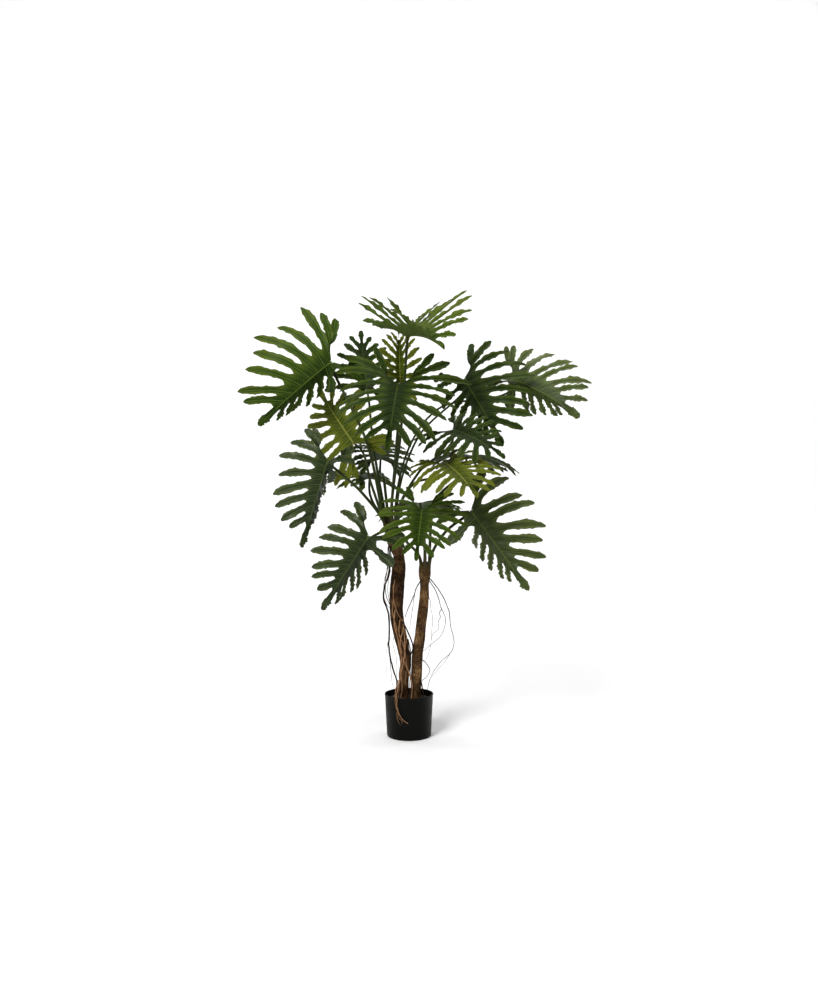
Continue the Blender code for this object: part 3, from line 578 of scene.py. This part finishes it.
# aerial roots: tone, radius at the top (mm) and the share left at the tip, then points (mm) from the trunk down
roots = {
    "left": (
        ("dark", 3.6, 0.7, (-46, -8, 672), (-61, -18, 640), (-64, -20, 600), (-66, -18, 560), (-84, -14, 502),
         (-87, -12, 475), (-71, -12, 425), (-67, -12, 360), (-68, -12, 300), (-52, -12, 225), (-42, -14, 190),
         (-40, -14, 126)),
        ("dark", 2, 0.65, (-52, 0, 668), (-70, -4, 635), (-70, -8, 590), (-79, -18, 525), (-75, -22, 475),
         (-52, -12, 425)),
        ("tan", 2.8, 0.75, (-46, -16, 440), (-50, -27, 400), (-36, -30, 330), (-24, -28, 275), (3, -26, 212),
         (10, -22, 185), (7, -22, 126)),
        ("dark", 2.6, 0.8, (-30, -10, 402), (-18, -20, 385), (3, -20, 340), (13.5, -15, 300), (-4, -10, 258)),
        ("tan", 2.1, 0.6, (-22, -10, 400), (-14, -34, 300), (-26, -48, 220), (-38, -64, 172), (-41, -74.5, 153),
         (-41, -79, 138), (-38, -79, 111), (-20, -80.5, 73), (-3, -81, 60)),
        ("tan", 1.1, 0.4, (-38, -79, 106), (-40, -79, 86), (-35, -78.5, 66), (-29, -78.5, 54)),
        ("tan", 0.9, 0.4, (-36, -79, 98), (-33, -79, 80), (-24, -79, 68), (-22, -79, 58)),
        ("tan", 1.6, 0.6, (-36, -50, 200), (-44.5, -66, 168), (-45.5, -74.5, 150), (-45, -77.5, 130),
         (-41, -78.5, 108)),
        ("tan", 2, 0.55, (-47, -16, 540), (-52, -24, 505), (-50, -26, 455), (-40, -26, 425), (-22, -22, 392)),
        ("tan", 1.7, 0.6, (-52, -18, 470), (-56, -26, 430), (-44, -27, 380), (-37, -26, 335), (-27, -27, 270),
         (-32, -24, 200), (-36, -20, 126)),
        ("tan", 2.4, 0.75, (-16, -14, 388), (-24, -30, 352), (-29, -29, 316), (-24, -28, 284), (-27, -24, 235),
         (-24, -20, 175), (-28, -18, 126)),
        ("tan", 1.9, 0.7, (-30, -20, 398), (-34, -31, 352), (-21, -30, 322), (-13, -27, 290), (-8, -24, 240),
         (-13, -20, 180)),
        ("tan", 1.5, 0.6, (-16, -16, 372), (-8, -25, 335), (-15, -27, 295), (-10, -26, 262), (-2, -22, 215)),
        ("dark", 1.5, 0.6, (-56, -6, 676), (-67, -14, 645), (-68, -18, 600), (-63, -24, 566), (-70, -26, 530),
         (-68, -26, 470), (-60, -24, 440)),
        ("dark", 1.2, 0.6, (-58, 2, 676), (-71, 2, 640), (-67, 6, 585), (-84, 4, 525), (-77, 4, 450), (-62, 2, 430)),
        ("dark", 1.1, 0.45, (-48, -4, 660), (-56, -12, 632), (-58, -18, 590), (-54, -20, 560)),
        ("dark", 0.9, 0.4, (-66, -13, 345), (-72, -16, 315), (-78, -14, 270), (-76, -12, 225), (-78, -12, 185)),
        ("dark", 1.2, 0.4, (-66, -14, 290), (-64, -20, 258), (-60, -18, 215), (-56, -16, 180), (-52, -16, 163)),
        ("dark", 0.9, 0.5, (-50, -20, 345), (-54, -24, 315), (-44, -28, 280), (-41, -26, 232), (-43, -26, 180),
         (-41, -24, 126)),
        ("dark", 2.1, 0.6, (-4, -6, 330), (3, -14, 302), (6, -14, 262), (4, -12, 215), (2, -14, 126)),
    ),
    "right": (
        ("dark", 2, 0.65, (50, -8, 545), (34, -14, 522), (14, -20, 475), (-6, -20, 428), (-12, -22, 408)),
        ("dark", 1.8, 0.4, (58, -8, 548), (86, -18, 518), (120, -22, 465), (136, -22, 418), (138, -20, 385),
         (151, -15, 325), (147, -12, 296), (103, -6, 248), (77, -6, 208), (56, -10, 131)),
        ("dark", 1.7, 0.45, (56, -6, 545), (72, -10, 525), (98, -16, 475), (110, -16, 432), (121, -14, 408),
         (109, -8, 345), (74, 0, 310), (45, 3, 285)),
        ("dark", 1.2, 0.55, (20, -18, 488), (14, -20, 455), (10, -18, 420), (5, -18, 390), (2, -19, 366)),
        ("dark", 1.5, 0.4, (110, -16, 434), (103, -18, 422), (106, -18, 406), (98, -18, 390), (101, -16, 368),
         (79, -12, 346), (77, -12, 332)),
        ("dark", 1, 0.45, (54, -10, 500), (71, -12, 462), (75, -10, 430), (80, -10, 400), (77, -10, 360),
         (75, -10, 330), (71, -10, 300), (66, -10, 280), (56, -8, 262), (40, -6, 250)),
        ("dark", 1.5, 0.6, (42, -10, 262), (58, -14, 250), (70, -16, 226), (60, -14, 204), (38, -10, 184)),
        ("dark", 0.8, 0.4, (146, -12, 294), (130, -14, 268), (108, -12, 240), (86, -12, 214), (70, -12, 195),
         (64, -12, 166)),
        ("dark", 2.6, 0.75, (36, -6, 200), (44, -12, 172), (50, -14, 126)),
        ("dark", 1.6, 0.6, (30, -10, 210), (36, -18, 180), (40, -22, 126)),
    ),
}
rootShape = {"steps": 7, "sway": 0.0022, "thin": 0.0015, "knobs": 0.22}
rootTones = {"dark": ((0.006, 0.004, 0.0025), (0.034, 0.019, 0.01)),
             "tan": ((0.11, 0.052, 0.022), (0.36, 0.205, 0.105))}


def rootFinish(tone):
    low, high = rootTones[tone]
    skin = Finish("root_" + tone, Roughness=0.75, Specular_IOR_Level=0.08)
    streak, knot = skin.cloud(1.0, 4.0, 0.6, skin.spot((420.0, 420.0, 60.0))), skin.cloud(140.0, 3.0)
    skin.bump(streak * 0.6 + knot * 0.4, 0.0007, 0.8)
    return skin.set(Base_Color=skin.mix(streak.step(0.32, 0.66) * 0.8 + knot.step(0.5, 0.7) * 0.2, low, high),
                    Roughness=knot.step(0.3, 0.7, 0.62, 0.84))


def makeRoots(side, tone):
    strands = []
    for n, (ownTone, radius, left, *knots) in enumerate(roots[side]):
        if ownTone != tone:
            continue
        radius = radius / 1000
        path = smoothPath(np.array(knots) / 1000, rootShape["steps"])
        sway = min(rootShape["sway"], radius)
        for i in range(1, len(path) - 1):
            p = Vector(path[i]) * 55
            way = (noise.noise(p + Vector((n, 0, 0))), noise.noise(p + Vector((0, n, 5))), 0.0)
            path[i] = path[i] + np.array(way) * sway
        last = len(path) - 1
        radii = [radius * (1 - (1 - left) * i / last) for i in range(last + 1)]

        def knobs(i, angle, point):
            return 1.0 + rootShape["knobs"] * noise.noise(Vector(point) * (0.35 / radius))

        sides = 10 if radius > rootShape["thin"] else 7
        strands.append(layAlong(roundStock(sides, last - 1), path, radii, knobs))
    piece = joinUp(strands)
    finishPiece(piece, "roots_%s_%s" % (side, tone), [rootFinish(tone)], "trunk_" + side)


makeRoots("left", "dark")
makeRoots("left", "tan")
makeRoots("right", "dark")
print("aerial roots made")

# leaves, lengths in mm. crown: the trunk, and the stalk's place round it (degrees) and height on it. via: a point on
# the stalk's way. at, tip: where the blade meets its stalk, and its tip. face: the way the upper side looks. fold,
# curl: how the left and right halves lift and then sink. droop: bend of the midrib. hang: sag of the lobes. size:
# scale of the left and right lobes. Last, where a leaf needs them: back, sink of the basal lobes; ears, scale of the
# basal lobes; reach, how far the stalk ends past "at"; swell, how much the stalk thickens half way; look, the tone it
# shows; trims, side, place and length share of a lobe that would cut into another leaf.
leafKeys = ("crown", "via", "at", "tip", "face", "fold", "curl", "droop", "hang", "size", "tone", "seed")
leaves = [dict(zip(leafKeys, row), **more) for *row, more in (
    (("left", 195, 675), (-140, 0, 990), (-260, 0, 1262), (-487, -100, 1052), (-85, 10), (-65, 8), (20, 20), 25, 0.1,
     (0.6, 1.1), "mid", 1, {}),
    (("left", None, 712), (-30, 0, 1000), (-7, -20, 1342), (105, -300, 1277), (-90, 72), (40, 48), (10, 10), 25, 0.0,
     (1.05, 1.05), "light", 2, {"reach": 4.6}),
    (("left", 285, 680), (-38, -80, 980), (-36, -120, 1180), (-66, -310, 970), (-90, 20), (12, 12), (30, 35), 30,
     0.08, (1.05, 1.05), "dark", 3, {"back": -75, "ears": 1.4}),
    (("left", 75, 685), (-45, 45, 960), (-30, 80, 1200), (-36, 150, 1385), (-90, 25), (50, 50), (15, 15), 20, 0.0,
     (0.8, 0.8), "lime", 4, {"reach": 3.2}),
    (("left", 134, 683), (-125, 95, 1000), (-148, 165, 1180), (-172, 255, 1390), (-95, 25), (10, 5), (15, 15), 20,
     0.0, (0.8, 0.72), "dark", 5, {}),
    (("left", 15, 680), (30, 50, 1010), (189, 95, 1210), (306, -75, 985), (-95, 15), (12, -29), (20, 20), 30, 0.1,
     (1.05, 0.6), "dark", 7, {"back": -30, "swell": -0.1}),
    (("left", 45, 692), (100, 133, 1110), (354, 110, 1212), (556, -70, 1078), (-90, 40), (15, -80), (20, 10), 25,
     0.05, (1.02, 0.55), "grey", 8, {"back": -60, "swell": -0.1}),
    (("left", 346, 672), (30, -10, 890), (144, -40, 1035), (300, -200, 943), (-80, 40), (12, 3), (15, 15), 30, 0.0,
     (0.64, 0.93), "dark", 9, {}),
    (("left", 168, 668), (-130, 30, 860), (-188, 60, 990), (-310, 190, 1170), (-115, 15), (0, 0), (30, 30), 20, 0.0,
     (1.0, 0.9), "lime", 10, {"trims": ((-1, 7, 0.86),)}),
    (("left", 103, 673), (-88, 70, 880), (-100, 180, 935), (-120, 440, 990), (90, 60), (5, 5), (30, 30), 30, 0.1,
     (0.78, 0.78), "dark", 11, {}),
    (("left", 225, 660), (-160, -40, 830), (-266, -80, 935), (-342, -170, 660), (-85, 10), (-80, 8), (20, 30), 25,
     0.1, (0.5, 0.76), "blue", 12, {}),
    (("left", 255, 650), (-85, -70, 700), (-130, -130, 688), (-271, -250, 470), (-85, 15), (-62, 5), (20, 25), 20,
     0.12, (0.72, 0.76), "grey", 14, {"look": "blue"}),
    (("left", 312, 662), (20, -80, 860), (119, -155, 925), (208, -325, 825), (-80, 35), (12, 8), (25, 25), 25, 0.1,
     (1.0, 1.0), "lime", 16, {}),
    (("right", 150, 555), (-22, 55, 670), (-138, 155, 868), (-236, 395, 880), (90, 80), (0, 0), (20, 20), 20, 0.1,
     (0.9, 0.8), "light", 13, {}),
    (("right", 270, 560), (46, -80, 690), (42, -150, 775), (22, -310, 630), (-90, 25), (15, 15), (25, 25), 25, 0.05,
     (1.03, 1.03), "mid", 15, {"back": -42}),
    (("right", 330, 550), (120, -5, 690), (207, -20, 765), (387, -120, 515), (-95, 12), (8, -58), (25, 20), 25, 0.1,
     (0.88, 0.66), "blue", 17, {"look": "grey"}),
    (("right", 30, 560), (95, 70, 800), (202, 158, 948), (312, 408, 878), (60, 60), (5, 5), (30, 30), 35, 0.15,
     (1.0, 1.0), "dark", 18, {}),
    (("right", 90, 565), (50, 90, 700), (40, 215, 780), (30, 485, 680), (100, 60), (5, 5), (30, 30), 35, 0.15,
     (0.85, 0.85), "mid", 19, {}),
)]

leafShape = {
    # each side lobe: its vein's root along the midrib (below 0: along the basal rib), angle, length, half width, web
    "lobes": ((-0.18, 160, 0.34, 0.036, 0.2), (-0.105, 138, 0.48, 0.041, 0.2), (-0.03, 116, 0.58, 0.044, 0.21),
              (0.09, 98, 0.64, 0.046, 0.22), (0.19, 86, 0.66, 0.047, 0.23), (0.3, 76, 0.63, 0.046, 0.24),
              (0.42, 67, 0.57, 0.044, 0.25), (0.54, 57, 0.48, 0.041, 0.26), (0.66, 46, 0.36, 0.036, 0.26)),
    "tipLobe": (0.79, 0.0, 0.23, 0.038, 0.25), "basalAngle": 128, "bend": 14,
    "halfSpan": 0.6, "foldEase": 0.12, "backDroop": 20, "thickness": 0.0011,
    "webRows": 6, "freeRows": 22, "across": 4, "ripple": 0.008, "tooth": 0.2, "pleat": 0.021, "ribRadius": 0.008,
    "veinRadius": 0.0034, "foldedLobe": 3, "foldedWidth": 0.42, "notch": 0.14,
}
leafTones = {  # in thousandths: painted shade beside the midrib and along the lobe veins (also the dark blotches), body, lobe tips (also the painted highlight on lobe edges), veins; then the gloss
    "mid": ((6, 19, 1), (25, 57, 3), (70, 98, 10), (85, 130, 17), 0.46),
    "light": ((11, 30, 1), (44, 77, 4), (86, 113, 14), (130, 170, 30), 0.46),
    "dark": ((3, 9, 1), (14, 32, 2), (46, 70, 7), (50, 75, 10), 0.42),
    "lime": ((21, 38, 1), (87, 108, 3), (124, 141, 13), (220, 220, 40), 0.46),
    "grey": ((15, 27, 4), (42, 65, 9), (98, 125, 30), (110, 140, 35), 0.4),
    "blue": ((5, 13, 2), (20, 36, 6), (67, 87, 26), (85, 115, 32), 0.36),
}
leafTones = {tone: [tuple(c / 1000 for c in colour) for colour in colours] + [gloss]
             for tone, (*colours, gloss) in leafTones.items()}


def ribPoint(s):  # on the midrib, or below 0 on the left basal rib
    if s >= 0:
        return np.array((s, 0.0))
    a = math.radians(leafShape["basalAngle"])
    return np.array((-s * math.cos(a), -s * math.sin(a)))


class Lobe:
    def __init__(self, spec, side, size, rng):
        self.s, angle, length, self.width, self.web = spec
        self.side, self.angle, self.length = side, angle, length * size
        self.bend = self.tilt = 0.0
        if angle:
            self.angle += rng.uniform(-5, 5)
            self.length *= rng.uniform(0.92, 1.08)
            self.width *= rng.uniform(0.9, 1.12)
            self.tilt = rng.uniform(-0.1, 0.1)
            self.bend = leafShape["bend"] * rng.uniform(0.3, 1.6)
        self.phase = rng.uniform(0, 2 * math.pi)

    def root(self):
        return ribPoint(self.s) * (1, self.side)

    def vein(self, t):  # the vein's point at the share t of its length, and the way across it to the leaf's tip
        a0, turn = math.radians(self.angle), -math.radians(self.bend)
        a1 = a0 + turn * t
        if self.bend:
            step = np.array((math.sin(a1) - math.sin(a0), math.cos(a0) - math.cos(a1))) / turn
        else:
            step = np.array((math.cos(a0), math.sin(a0))) * t
        p = ribPoint(self.s) + step * self.length
        return p * (1, self.side), np.array((math.sin(a1), -math.cos(a1) * self.side))

    def halfWidth(self, t, edge):  # finger shaped, with a few small teeth; edge is +1 ahead and -1 behind
        body = (0.82 + 0.22 * ease(t / 0.55)) * max(0.0, 1 - max(0.0, (t - 0.45) / 0.55) ** 3.2) ** 0.62
        wave = 0.09 * math.sin(9 * t + (self.phase if edge > 0 else 2 * self.phase + 1))
        tooth = max(0.0, math.sin(21 * t + self.phase * (3 if edge > 0 else 5))) ** 5
        return self.width * body * (1 + wave + leafShape["tooth"] * tooth * ease(t / 0.3))

    def height(self, t, across, out):  # across runs from -1 behind the vein to 1 ahead of it, out along the lobe
        lift = self.tilt * self.length * t * t
        edge = leafShape["pleat"] * ease(out / 0.27) * abs(across) ** 1.2
        wave = 0.01 * math.sin(11 * t + self.phase) * ease(3 * t) * across
        ripple = leafShape["ripple"] * math.sin(34 * t + 4 * self.phase + 1.7 * across) * abs(across) ** 2
        return lift + (edge + wave + ripple * ease(t / 0.25)) * (1 - t ** 6)


def flatLeaf(leaf):  # points (u, v, h) for a length of 1, faces, and the map of each face's corners
    shape = leafShape
    rng = np.random.default_rng(leaf["seed"])
    ears = leaf.get("ears", 1.0)
    lobes = {side: [Lobe(spec, side, size * (ears if spec[0] < 0 else 1.0), rng) for spec in shape["lobes"]]
             for side, size in ((1, leaf["size"][0]), (-1, leaf["size"][1]))}
    for side, fold in zip((1, -1), leaf["fold"]):
        if fold < 0:
            lobes[side][shape["foldedLobe"]].width *= shape["foldedWidth"]  # the turn of the fold spreads this lobe
    for side, place, share in leaf.get("trims", ()):
        lobes[side][place].length *= share
    points, faces, maps, veins, known = [], [], [], [], {}

    def vertex(p, h):
        key = (round(float(p[0]), 5), round(float(p[1]), 5))
        if key not in known:
            known[key] = len(points)
            points.append((p[0], p[1], h))
        return known[key]

    tipRng = np.random.default_rng(leaf["seed"] + 100)
    cells = shape["across"]
    for side in (1, -1):
        tip = Lobe(shape["tipLobe"], side, 1.0, tipRng)
        tip.phase = leaf["seed"]
        row = lobes[side] + [tip]
        cuts = []
        for near, far in zip(row, row[1:]):
            reach = (near.web * near.length + far.web * far.length) / 2
            a = near.vein(min(0.8, reach / near.length))[0]
            b = far.vein(min(0.8, reach / far.length))[0]
            s = (near.s + far.s) / 2
            if far is tip:
                b = far.vein(0.3)[0]
                s = tip.s - 0.03
            cuts.append((ribPoint(s) * (1, side), (a + b) / 2))
        for i, lobe in enumerate(row):
            mid0, ahead0 = lobe.vein(lobe.web)
            front = lobe is not tip  # the tip lobe's other half is the other side's
            backRoot, backEnd = cuts[i - 1] if i else (lobe.root(), mid0 - ahead0 * lobe.halfWidth(0, -1))
            frontRoot, frontEnd = cuts[i] if front else (lobe.root(), mid0)
            stations = []  # behind, on and ahead of the vein, then the distance out and the free share
            for r in range(shape["webRows"]):
                t = r / shape["webRows"]
                stations.append((backRoot * (1 - t) + backEnd * t, lobe.vein(lobe.web * t)[0],
                                 frontRoot * (1 - t) + frontEnd * t, lobe.web * t, 0.0))
            for r in range(shape["freeRows"] + 1):
                t = 1 - (1 - r / shape["freeRows"]) ** 1.45
                mid, ahead = lobe.vein(lobe.web + (1 - lobe.web) * t)
                opened = ease(t / shape["notch"]) ** 0.5  # the notch opens round
                aft = mid - ahead * lobe.halfWidth(t, -1)
                fore = mid + ahead * lobe.halfWidth(t, 1)
                if t < shape["notch"]:
                    aft = aft * opened + (backEnd + (mid - mid0)) * (1 - opened)
                    fore = fore * opened + (frontEnd + (mid - mid0)) * (1 - opened)
                if r == shape["freeRows"]:
                    aft = fore = mid
                stations.append((aft, mid, fore, lobe.web + (1 - lobe.web) * t, t))
            grid = []  # rows of points, each with its place on the map
            for aft, mid, fore, out, t in stations:
                line = []
                for share in [k / cells for k in range(-cells, (cells if front else 0) + 1)]:
                    p = mid + ((fore if share > 0 else aft) - mid) * abs(share)
                    spot = (0.5 + math.copysign(np.linalg.norm(p - mid), share), out * lobe.length)
                    line.append((vertex(p, lobe.height(t, share, out)), spot))
                grid.append(line)
            for near, far in zip(grid, grid[1:]):
                for j in range(len(near) - 1):
                    ring = [near[j], near[j + 1], far[j + 1], far[j]]
                    corners = [c for n, c in enumerate(ring) if c[0] not in [q[0] for q in ring[:n]]]
                    if len(corners) > 2:
                        corners = corners if side > 0 else corners[::-1]
                        faces.append(tuple(c[0] for c in corners))
                        maps.append([c[1] for c in corners])
            if front:
                line = [(*lobe.vein(t)[0], lobe.height(max(0.0, (t - lobe.web) / (1 - lobe.web)), 0.0, t))
                        for t in [k / 14 for k in range(14)]]
                veins.append((line, shape["veinRadius"], 0.25))
    veins.append(([(k / 26 * 0.985, 0.0, 0.0) for k in range(27)], shape["ribRadius"], 0.16))
    for side in (1, -1):
        basal = [(*(ribPoint(-0.17 * k / 6) * (1, side)), 0.0) for k in range(7)]
        veins.append((basal, shape["ribRadius"] * 0.8, 0.5))
    return np.array(points), faces, maps, veins


def leafFrame(leaf):  # the blade's root, its axes there (along, up, left), its length and the midrib's bend
    root, tip = np.array(leaf["at"]) / 1000, np.array(leaf["tip"]) / 1000
    droop = math.radians(leaf["droop"])
    reach, sink = math.sin(droop) / droop, (1 - math.cos(droop)) / droop
    chord = tip - root
    length = np.linalg.norm(chord) / math.hypot(reach, sink)
    chord = unit(chord)
    azimuth, elevation = (math.radians(a) for a in leaf["face"])
    face = np.array((math.cos(azimuth) * math.cos(elevation), math.sin(azimuth) * math.cos(elevation),
                     math.sin(elevation)))
    up = unit(face - chord * (face @ chord))
    lift = math.atan2(sink, reach)
    along = chord * math.cos(lift) + up * math.sin(lift)
    up = up * math.cos(lift) - chord * math.sin(lift)
    return root, along, up, np.cross(up, along), length, droop


def bendLeaf(leaf, flat):  # takes flat points to their places: folded and curled across, drooped along, sagging
    root, along, up, left, length, droop = leafFrame(leaf)
    back = math.radians(leaf.get("back", leafShape["backDroop"]))
    u, v, h = np.asarray(flat, float).T
    fold, curl = (np.where(v < 0, leaf[key][1], leaf[key][0]).astype(float) for key in ("fold", "curl"))
    fold = np.radians(fold)
    fold = np.where(fold < 0, fold * ease(u / leafShape["foldEase"]), fold)
    rate = np.radians(np.maximum(curl, 0.01)) / leafShape["halfSpan"]
    angle = fold - rate * np.abs(v)
    y = np.sign(v) * ((np.sin(fold) - np.sin(angle)) / rate - h * np.sin(angle))
    z = (np.cos(angle) - np.cos(fold)) / rate + h * np.cos(angle)
    turn = np.where(u >= 0, droop, back)
    a = turn * u
    rib = root + (np.outer(np.sin(a) / turn, along) - np.outer((1 - np.cos(a)) / turn, up)) * length
    arm = ((np.outer(np.sin(a), along) + np.outer(np.cos(a), up)) * z[:, None] + np.outer(y, left)) * length
    reach = np.linalg.norm(arm, axis=1)
    sag = arm - np.array((0, 0, 1.0)) * (leaf["hang"] * reach ** 2 / (leafShape["halfSpan"] * length))[:, None]
    size = np.linalg.norm(sag, axis=1)
    keep = np.where(reach > 1e-6, reach / np.maximum(size, 1e-9), 1.0)
    return rib + sag * keep[:, None]


def leafFinish(tone, under=False):
    shade_and_blotch, body, ends_and_edge_highlight, vein, gloss = leafTones[tone]
    shine = 0.16 if tone in ("blue", "grey") else 0.07
    cloth = Finish("leaf_%s_%s" % (tone, "under" if under else "top"), Specular_IOR_Level=shine)
    across, out = cloth.flow("veins")
    side = (across - 0.5).size()
    blotch, weave = cloth.cloud(24.0, 4.0), cloth.cloud(700.0, 2.0)
    streak = cloth.cloud(1.0, 3.0, 0.6, cloth.add("CombineXYZ", None, {0: across * 90.0, 1: out * 9.0}))
    main = side.step(0.0022, 0.0052, 1.0, 0.0)
    spine = out.step(0.004, 0.014, 1.0, 0.0)
    rise = (out * 34.0 - side * 30.0).calc("FRACT", out * 34.0 - side * 30.0)
    branch = (rise - 0.5).size().step(0.0, 0.11, 1.0, 0.0) * side.step(0.002, 0.012)
    pale = main.most(spine).most(branch * 0.3)
    # darker near the midrib: painted shade where the lobes meet, easing to the body colour and lighter lobe tips
    tint = cloth.mix(out.step(0.02, 0.26), shade_and_blotch, body)
    tint = cloth.mix(out.step(0.3, 0.62) * 0.75, tint, ends_and_edge_highlight)
    tint = cloth.mix(blotch.step(0.36, 0.66) * 0.45, tint, shade_and_blotch)
    tint = cloth.mix(streak.step(0.42, 0.66) * 0.5, tint, ends_and_edge_highlight)
    # darker band either side of each lobe's vein: painted shade in the lobe's folded channel
    tint = cloth.mix(side.step(0.004, 0.018, 0.7, 0.0), tint, shade_and_blotch)
    # lighter lobe edges: painted highlight on the raised edges of each lobe
    tint = cloth.mix(side.step(0.016, 0.034) * out.step(0.05, 0.2) * 0.6, tint, ends_and_edge_highlight)
    tint = cloth.mix(pale * (0.55 if tone in ("dark", "blue", "grey") else 0.75), tint, vein)
    if under:
        # paler, greyer undersides; the light tone's underside is lifted much further, as painted light on undersides
        # that lie in shade
        share, lift = (0.6, 1.5) if tone == "light" else (0.3, 0.7)
        tint = cloth.mix(share, tint, tuple(lift * c + 0.3 * sum(body) / 3 + 0.004 for c in body))
    relief = 1.0 - main * 0.8 - branch * 0.45 + streak * 0.25 + weave * 0.1
    cloth.bump(relief, 0.0016, 0.75)
    cloth.set(Base_Color=tint, Roughness=blotch.step(0.3, 0.7, gloss - 0.05, gloss + 0.09) + pale * 0.08)
    return cloth.material


def ribFinish(tone):
    body, vein = leafTones[tone][1], leafTones[tone][3]
    cord = Finish("leaf_%s_rib" % tone, Roughness=0.48, Specular_IOR_Level=0.08)
    grain = cord.cloud(1.0, 3.0, 0.6, cord.spot((300.0, 300.0, 300.0)))
    cord.bump(grain, 0.0004, 0.5)
    pale = tuple(0.62 * v + 0.38 * b for v, b in zip(vein, body))
    return cord.set(Base_Color=cord.mix(grain.step(0.3, 0.7), pale, tuple(0.7 * c for c in pale)),
                    Roughness=grain.step(0.3, 0.7, 0.42, 0.55))


def makeLeaf(number, leaf, finishes):
    flat, faces, maps, veins = flatLeaf(leaf)
    mesh = bpy.data.meshes.new("blade")
    mesh.from_pydata([tuple(p) for p in bendLeaf(leaf, flat)], [], faces)
    layer = mesh.uv_layers.new(name="veins")
    for face, corners in zip(mesh.polygons, maps):
        for loop, spot in zip(face.loop_indices, corners):
            layer.data[loop].uv = spot
    blade = newObject("blade", mesh, finishes)
    wall = blade.modifiers.new("wall", "SOLIDIFY")
    wall.thickness = leafShape["thickness"]
    wall.offset = 0.0
    wall.use_even_offset = False
    wall.material_offset = 1
    takeUp(blade)
    bpy.ops.object.modifier_apply(modifier="wall")

    length = leafFrame(leaf)[4]
    points, quads = [], []
    for line, radius, left in veins:  # ribs and veins stand proud of both sides
        path = bendLeaf(leaf, line)
        firsts, others = pathFrames(path)
        last = len(path) - 1
        start = len(points)
        for i in range(last + 1):
            r = radius * length * (1 - (1 - left) * i / last) * 0.5
            for k in range(6):
                a = 2 * math.pi * k / 6
                points.append(path[i] + (firsts[i] * math.cos(a) + others[i] * math.sin(a)) * r)
        for i in range(last):
            for k in range(6):
                a, b = start + i * 6 + k, start + i * 6 + (k + 1) % 6
                quads.append((a, b, b + 6, a + 6))
        quads.append(tuple(start + k for k in range(5, -1, -1)))
        quads.append(tuple(start + last * 6 + k for k in range(6)))
    mesh = bpy.data.meshes.new("ribs")
    mesh.from_pydata([tuple(p) for p in points], [], quads)
    ribs = newObject("ribs", mesh, finishes)
    for face in mesh.polygons:
        face.material_index = 2
    whole = joinUp([blade, ribs])
    name = "blade_%02d" % number
    finishPiece(whole, name + "_leaf", [], "leaf_" + leaf["tone"], name)


leafFinishes = {tone: [leafFinish(tone), leafFinish(tone, True), ribFinish(tone)] for tone in leafTones}
for number, leaf in enumerate(leaves, 1):
    makeLeaf(number, leaf, leafFinishes[leaf.get("look", leaf["tone"])])
print("leaves made:", len(leaves))

# stalks: from the crown up, with a broad grooved sheath at the foot
stalk = {"baseRadius": 0.0043, "topShare": 0.0132, "seat": 0.0042, "lean": 0.0085, "neck": 0.038, "plug": 0.012,
         "sheath": 0.075, "swell": 0.22, "sunk": 0.003,
         "channel": 0.16, "flare": 0.28, "ridges": 0.03, "green": (0.03, 0.045, 0.008), "dark": (0.009, 0.014, 0.003),
         "brown": (0.055, 0.038, 0.018)}


def stalkPath(leaf, steps):
    side, place, height = leaf["crown"]
    height = height / 1000
    if place is None:
        base = trunkAt(side, height - stalk["plug"])[0]
        rise = base + np.array((0.0, 0.0, 0.06 + stalk["plug"]))
    else:
        a = math.radians(place)
        out = np.array((math.cos(a), math.sin(a), 0.0))
        axis, radius = trunkAt(side, height)
        base = axis + out * (radius + stalk["seat"])
        axis, radius = trunkAt(side, height + 0.04)
        rise = axis + out * (radius + stalk["lean"])
    root, along, up, _, length, _ = leafFrame(leaf)
    neck = root - up * stalk["neck"] - along * stalk["neck"] / 3
    end = root + along * (leaf.get("reach", 0.0) / 1000 + stalk["sunk"])
    return smoothPath((base, rise, np.array(leaf["via"]) / 1000, neck, end), steps), length


def stalkFinish():
    skin = Finish("stalk_green", Roughness=0.46, Specular_IOR_Level=0.1)
    around, along = skin.flow("lengthways")
    streak = skin.cloud(1.0, 4.0, 0.6, skin.add("CombineXYZ", None, {0: around * 22.0, 1: along * 14.0}))
    fleck = skin.cloud(260.0, 3.0).step(0.6, 0.7)
    foot = along.step(0.01, 0.11, 1.0, 0.0)
    tint = skin.mix(streak.step(0.32, 0.68), stalk["dark"], stalk["green"])
    tint = skin.mix((foot * 0.65 + fleck * 0.25).least(1.0), tint, stalk["brown"])
    skin.bump(streak * 0.7 + fleck * 0.3, 0.0006, 0.6)
    return skin.set(Base_Color=tint, Roughness=streak.step(0.3, 0.7, 0.38, 0.52) + foot * 0.2)


def makeStalk(number, leaf, finish):
    path, length = stalkPath(leaf, 14)
    last = len(path) - 1
    run = runAlong(path)
    top = stalk["topShare"] * length
    radii = [stalk["baseRadius"] + (top - stalk["baseRadius"]) * i / last for i in range(last + 1)]
    place = leaf["crown"][1]
    inward = 0.0 if place is None else math.radians(place + 180)

    def groove(i, angle, point):
        foot = ease(run[i], 0.0, 0.016) * (1.0 - ease(run[i], 0.02, stalk["sheath"]))
        turn = math.cos(angle - inward)
        channel = stalk["channel"] * max(0.0, turn) ** 6
        start = 0.35 + 0.65 * ease(run[i], 0.0, 0.014)
        start *= 1 + leaf.get("swell", stalk["swell"]) * math.sin(math.pi * i / last) ** 0.7
        flare = stalk["flare"] * foot * (1 - max(0.0, turn))
        return start * (1.0 + flare - channel + stalk["ridges"] * math.sin(angle * 5))

    obj = layAlong(roundStock(14, last - 1), path, radii, groove)
    finishPiece(obj, "stem_%02d_stalk" % number, [finish], "stem", "stem_%02d" % number)


stalkSkin = stalkFinish()
for number, leaf in enumerate(leaves, 1):
    makeStalk(number, leaf, stalkSkin)
print("stalks made")
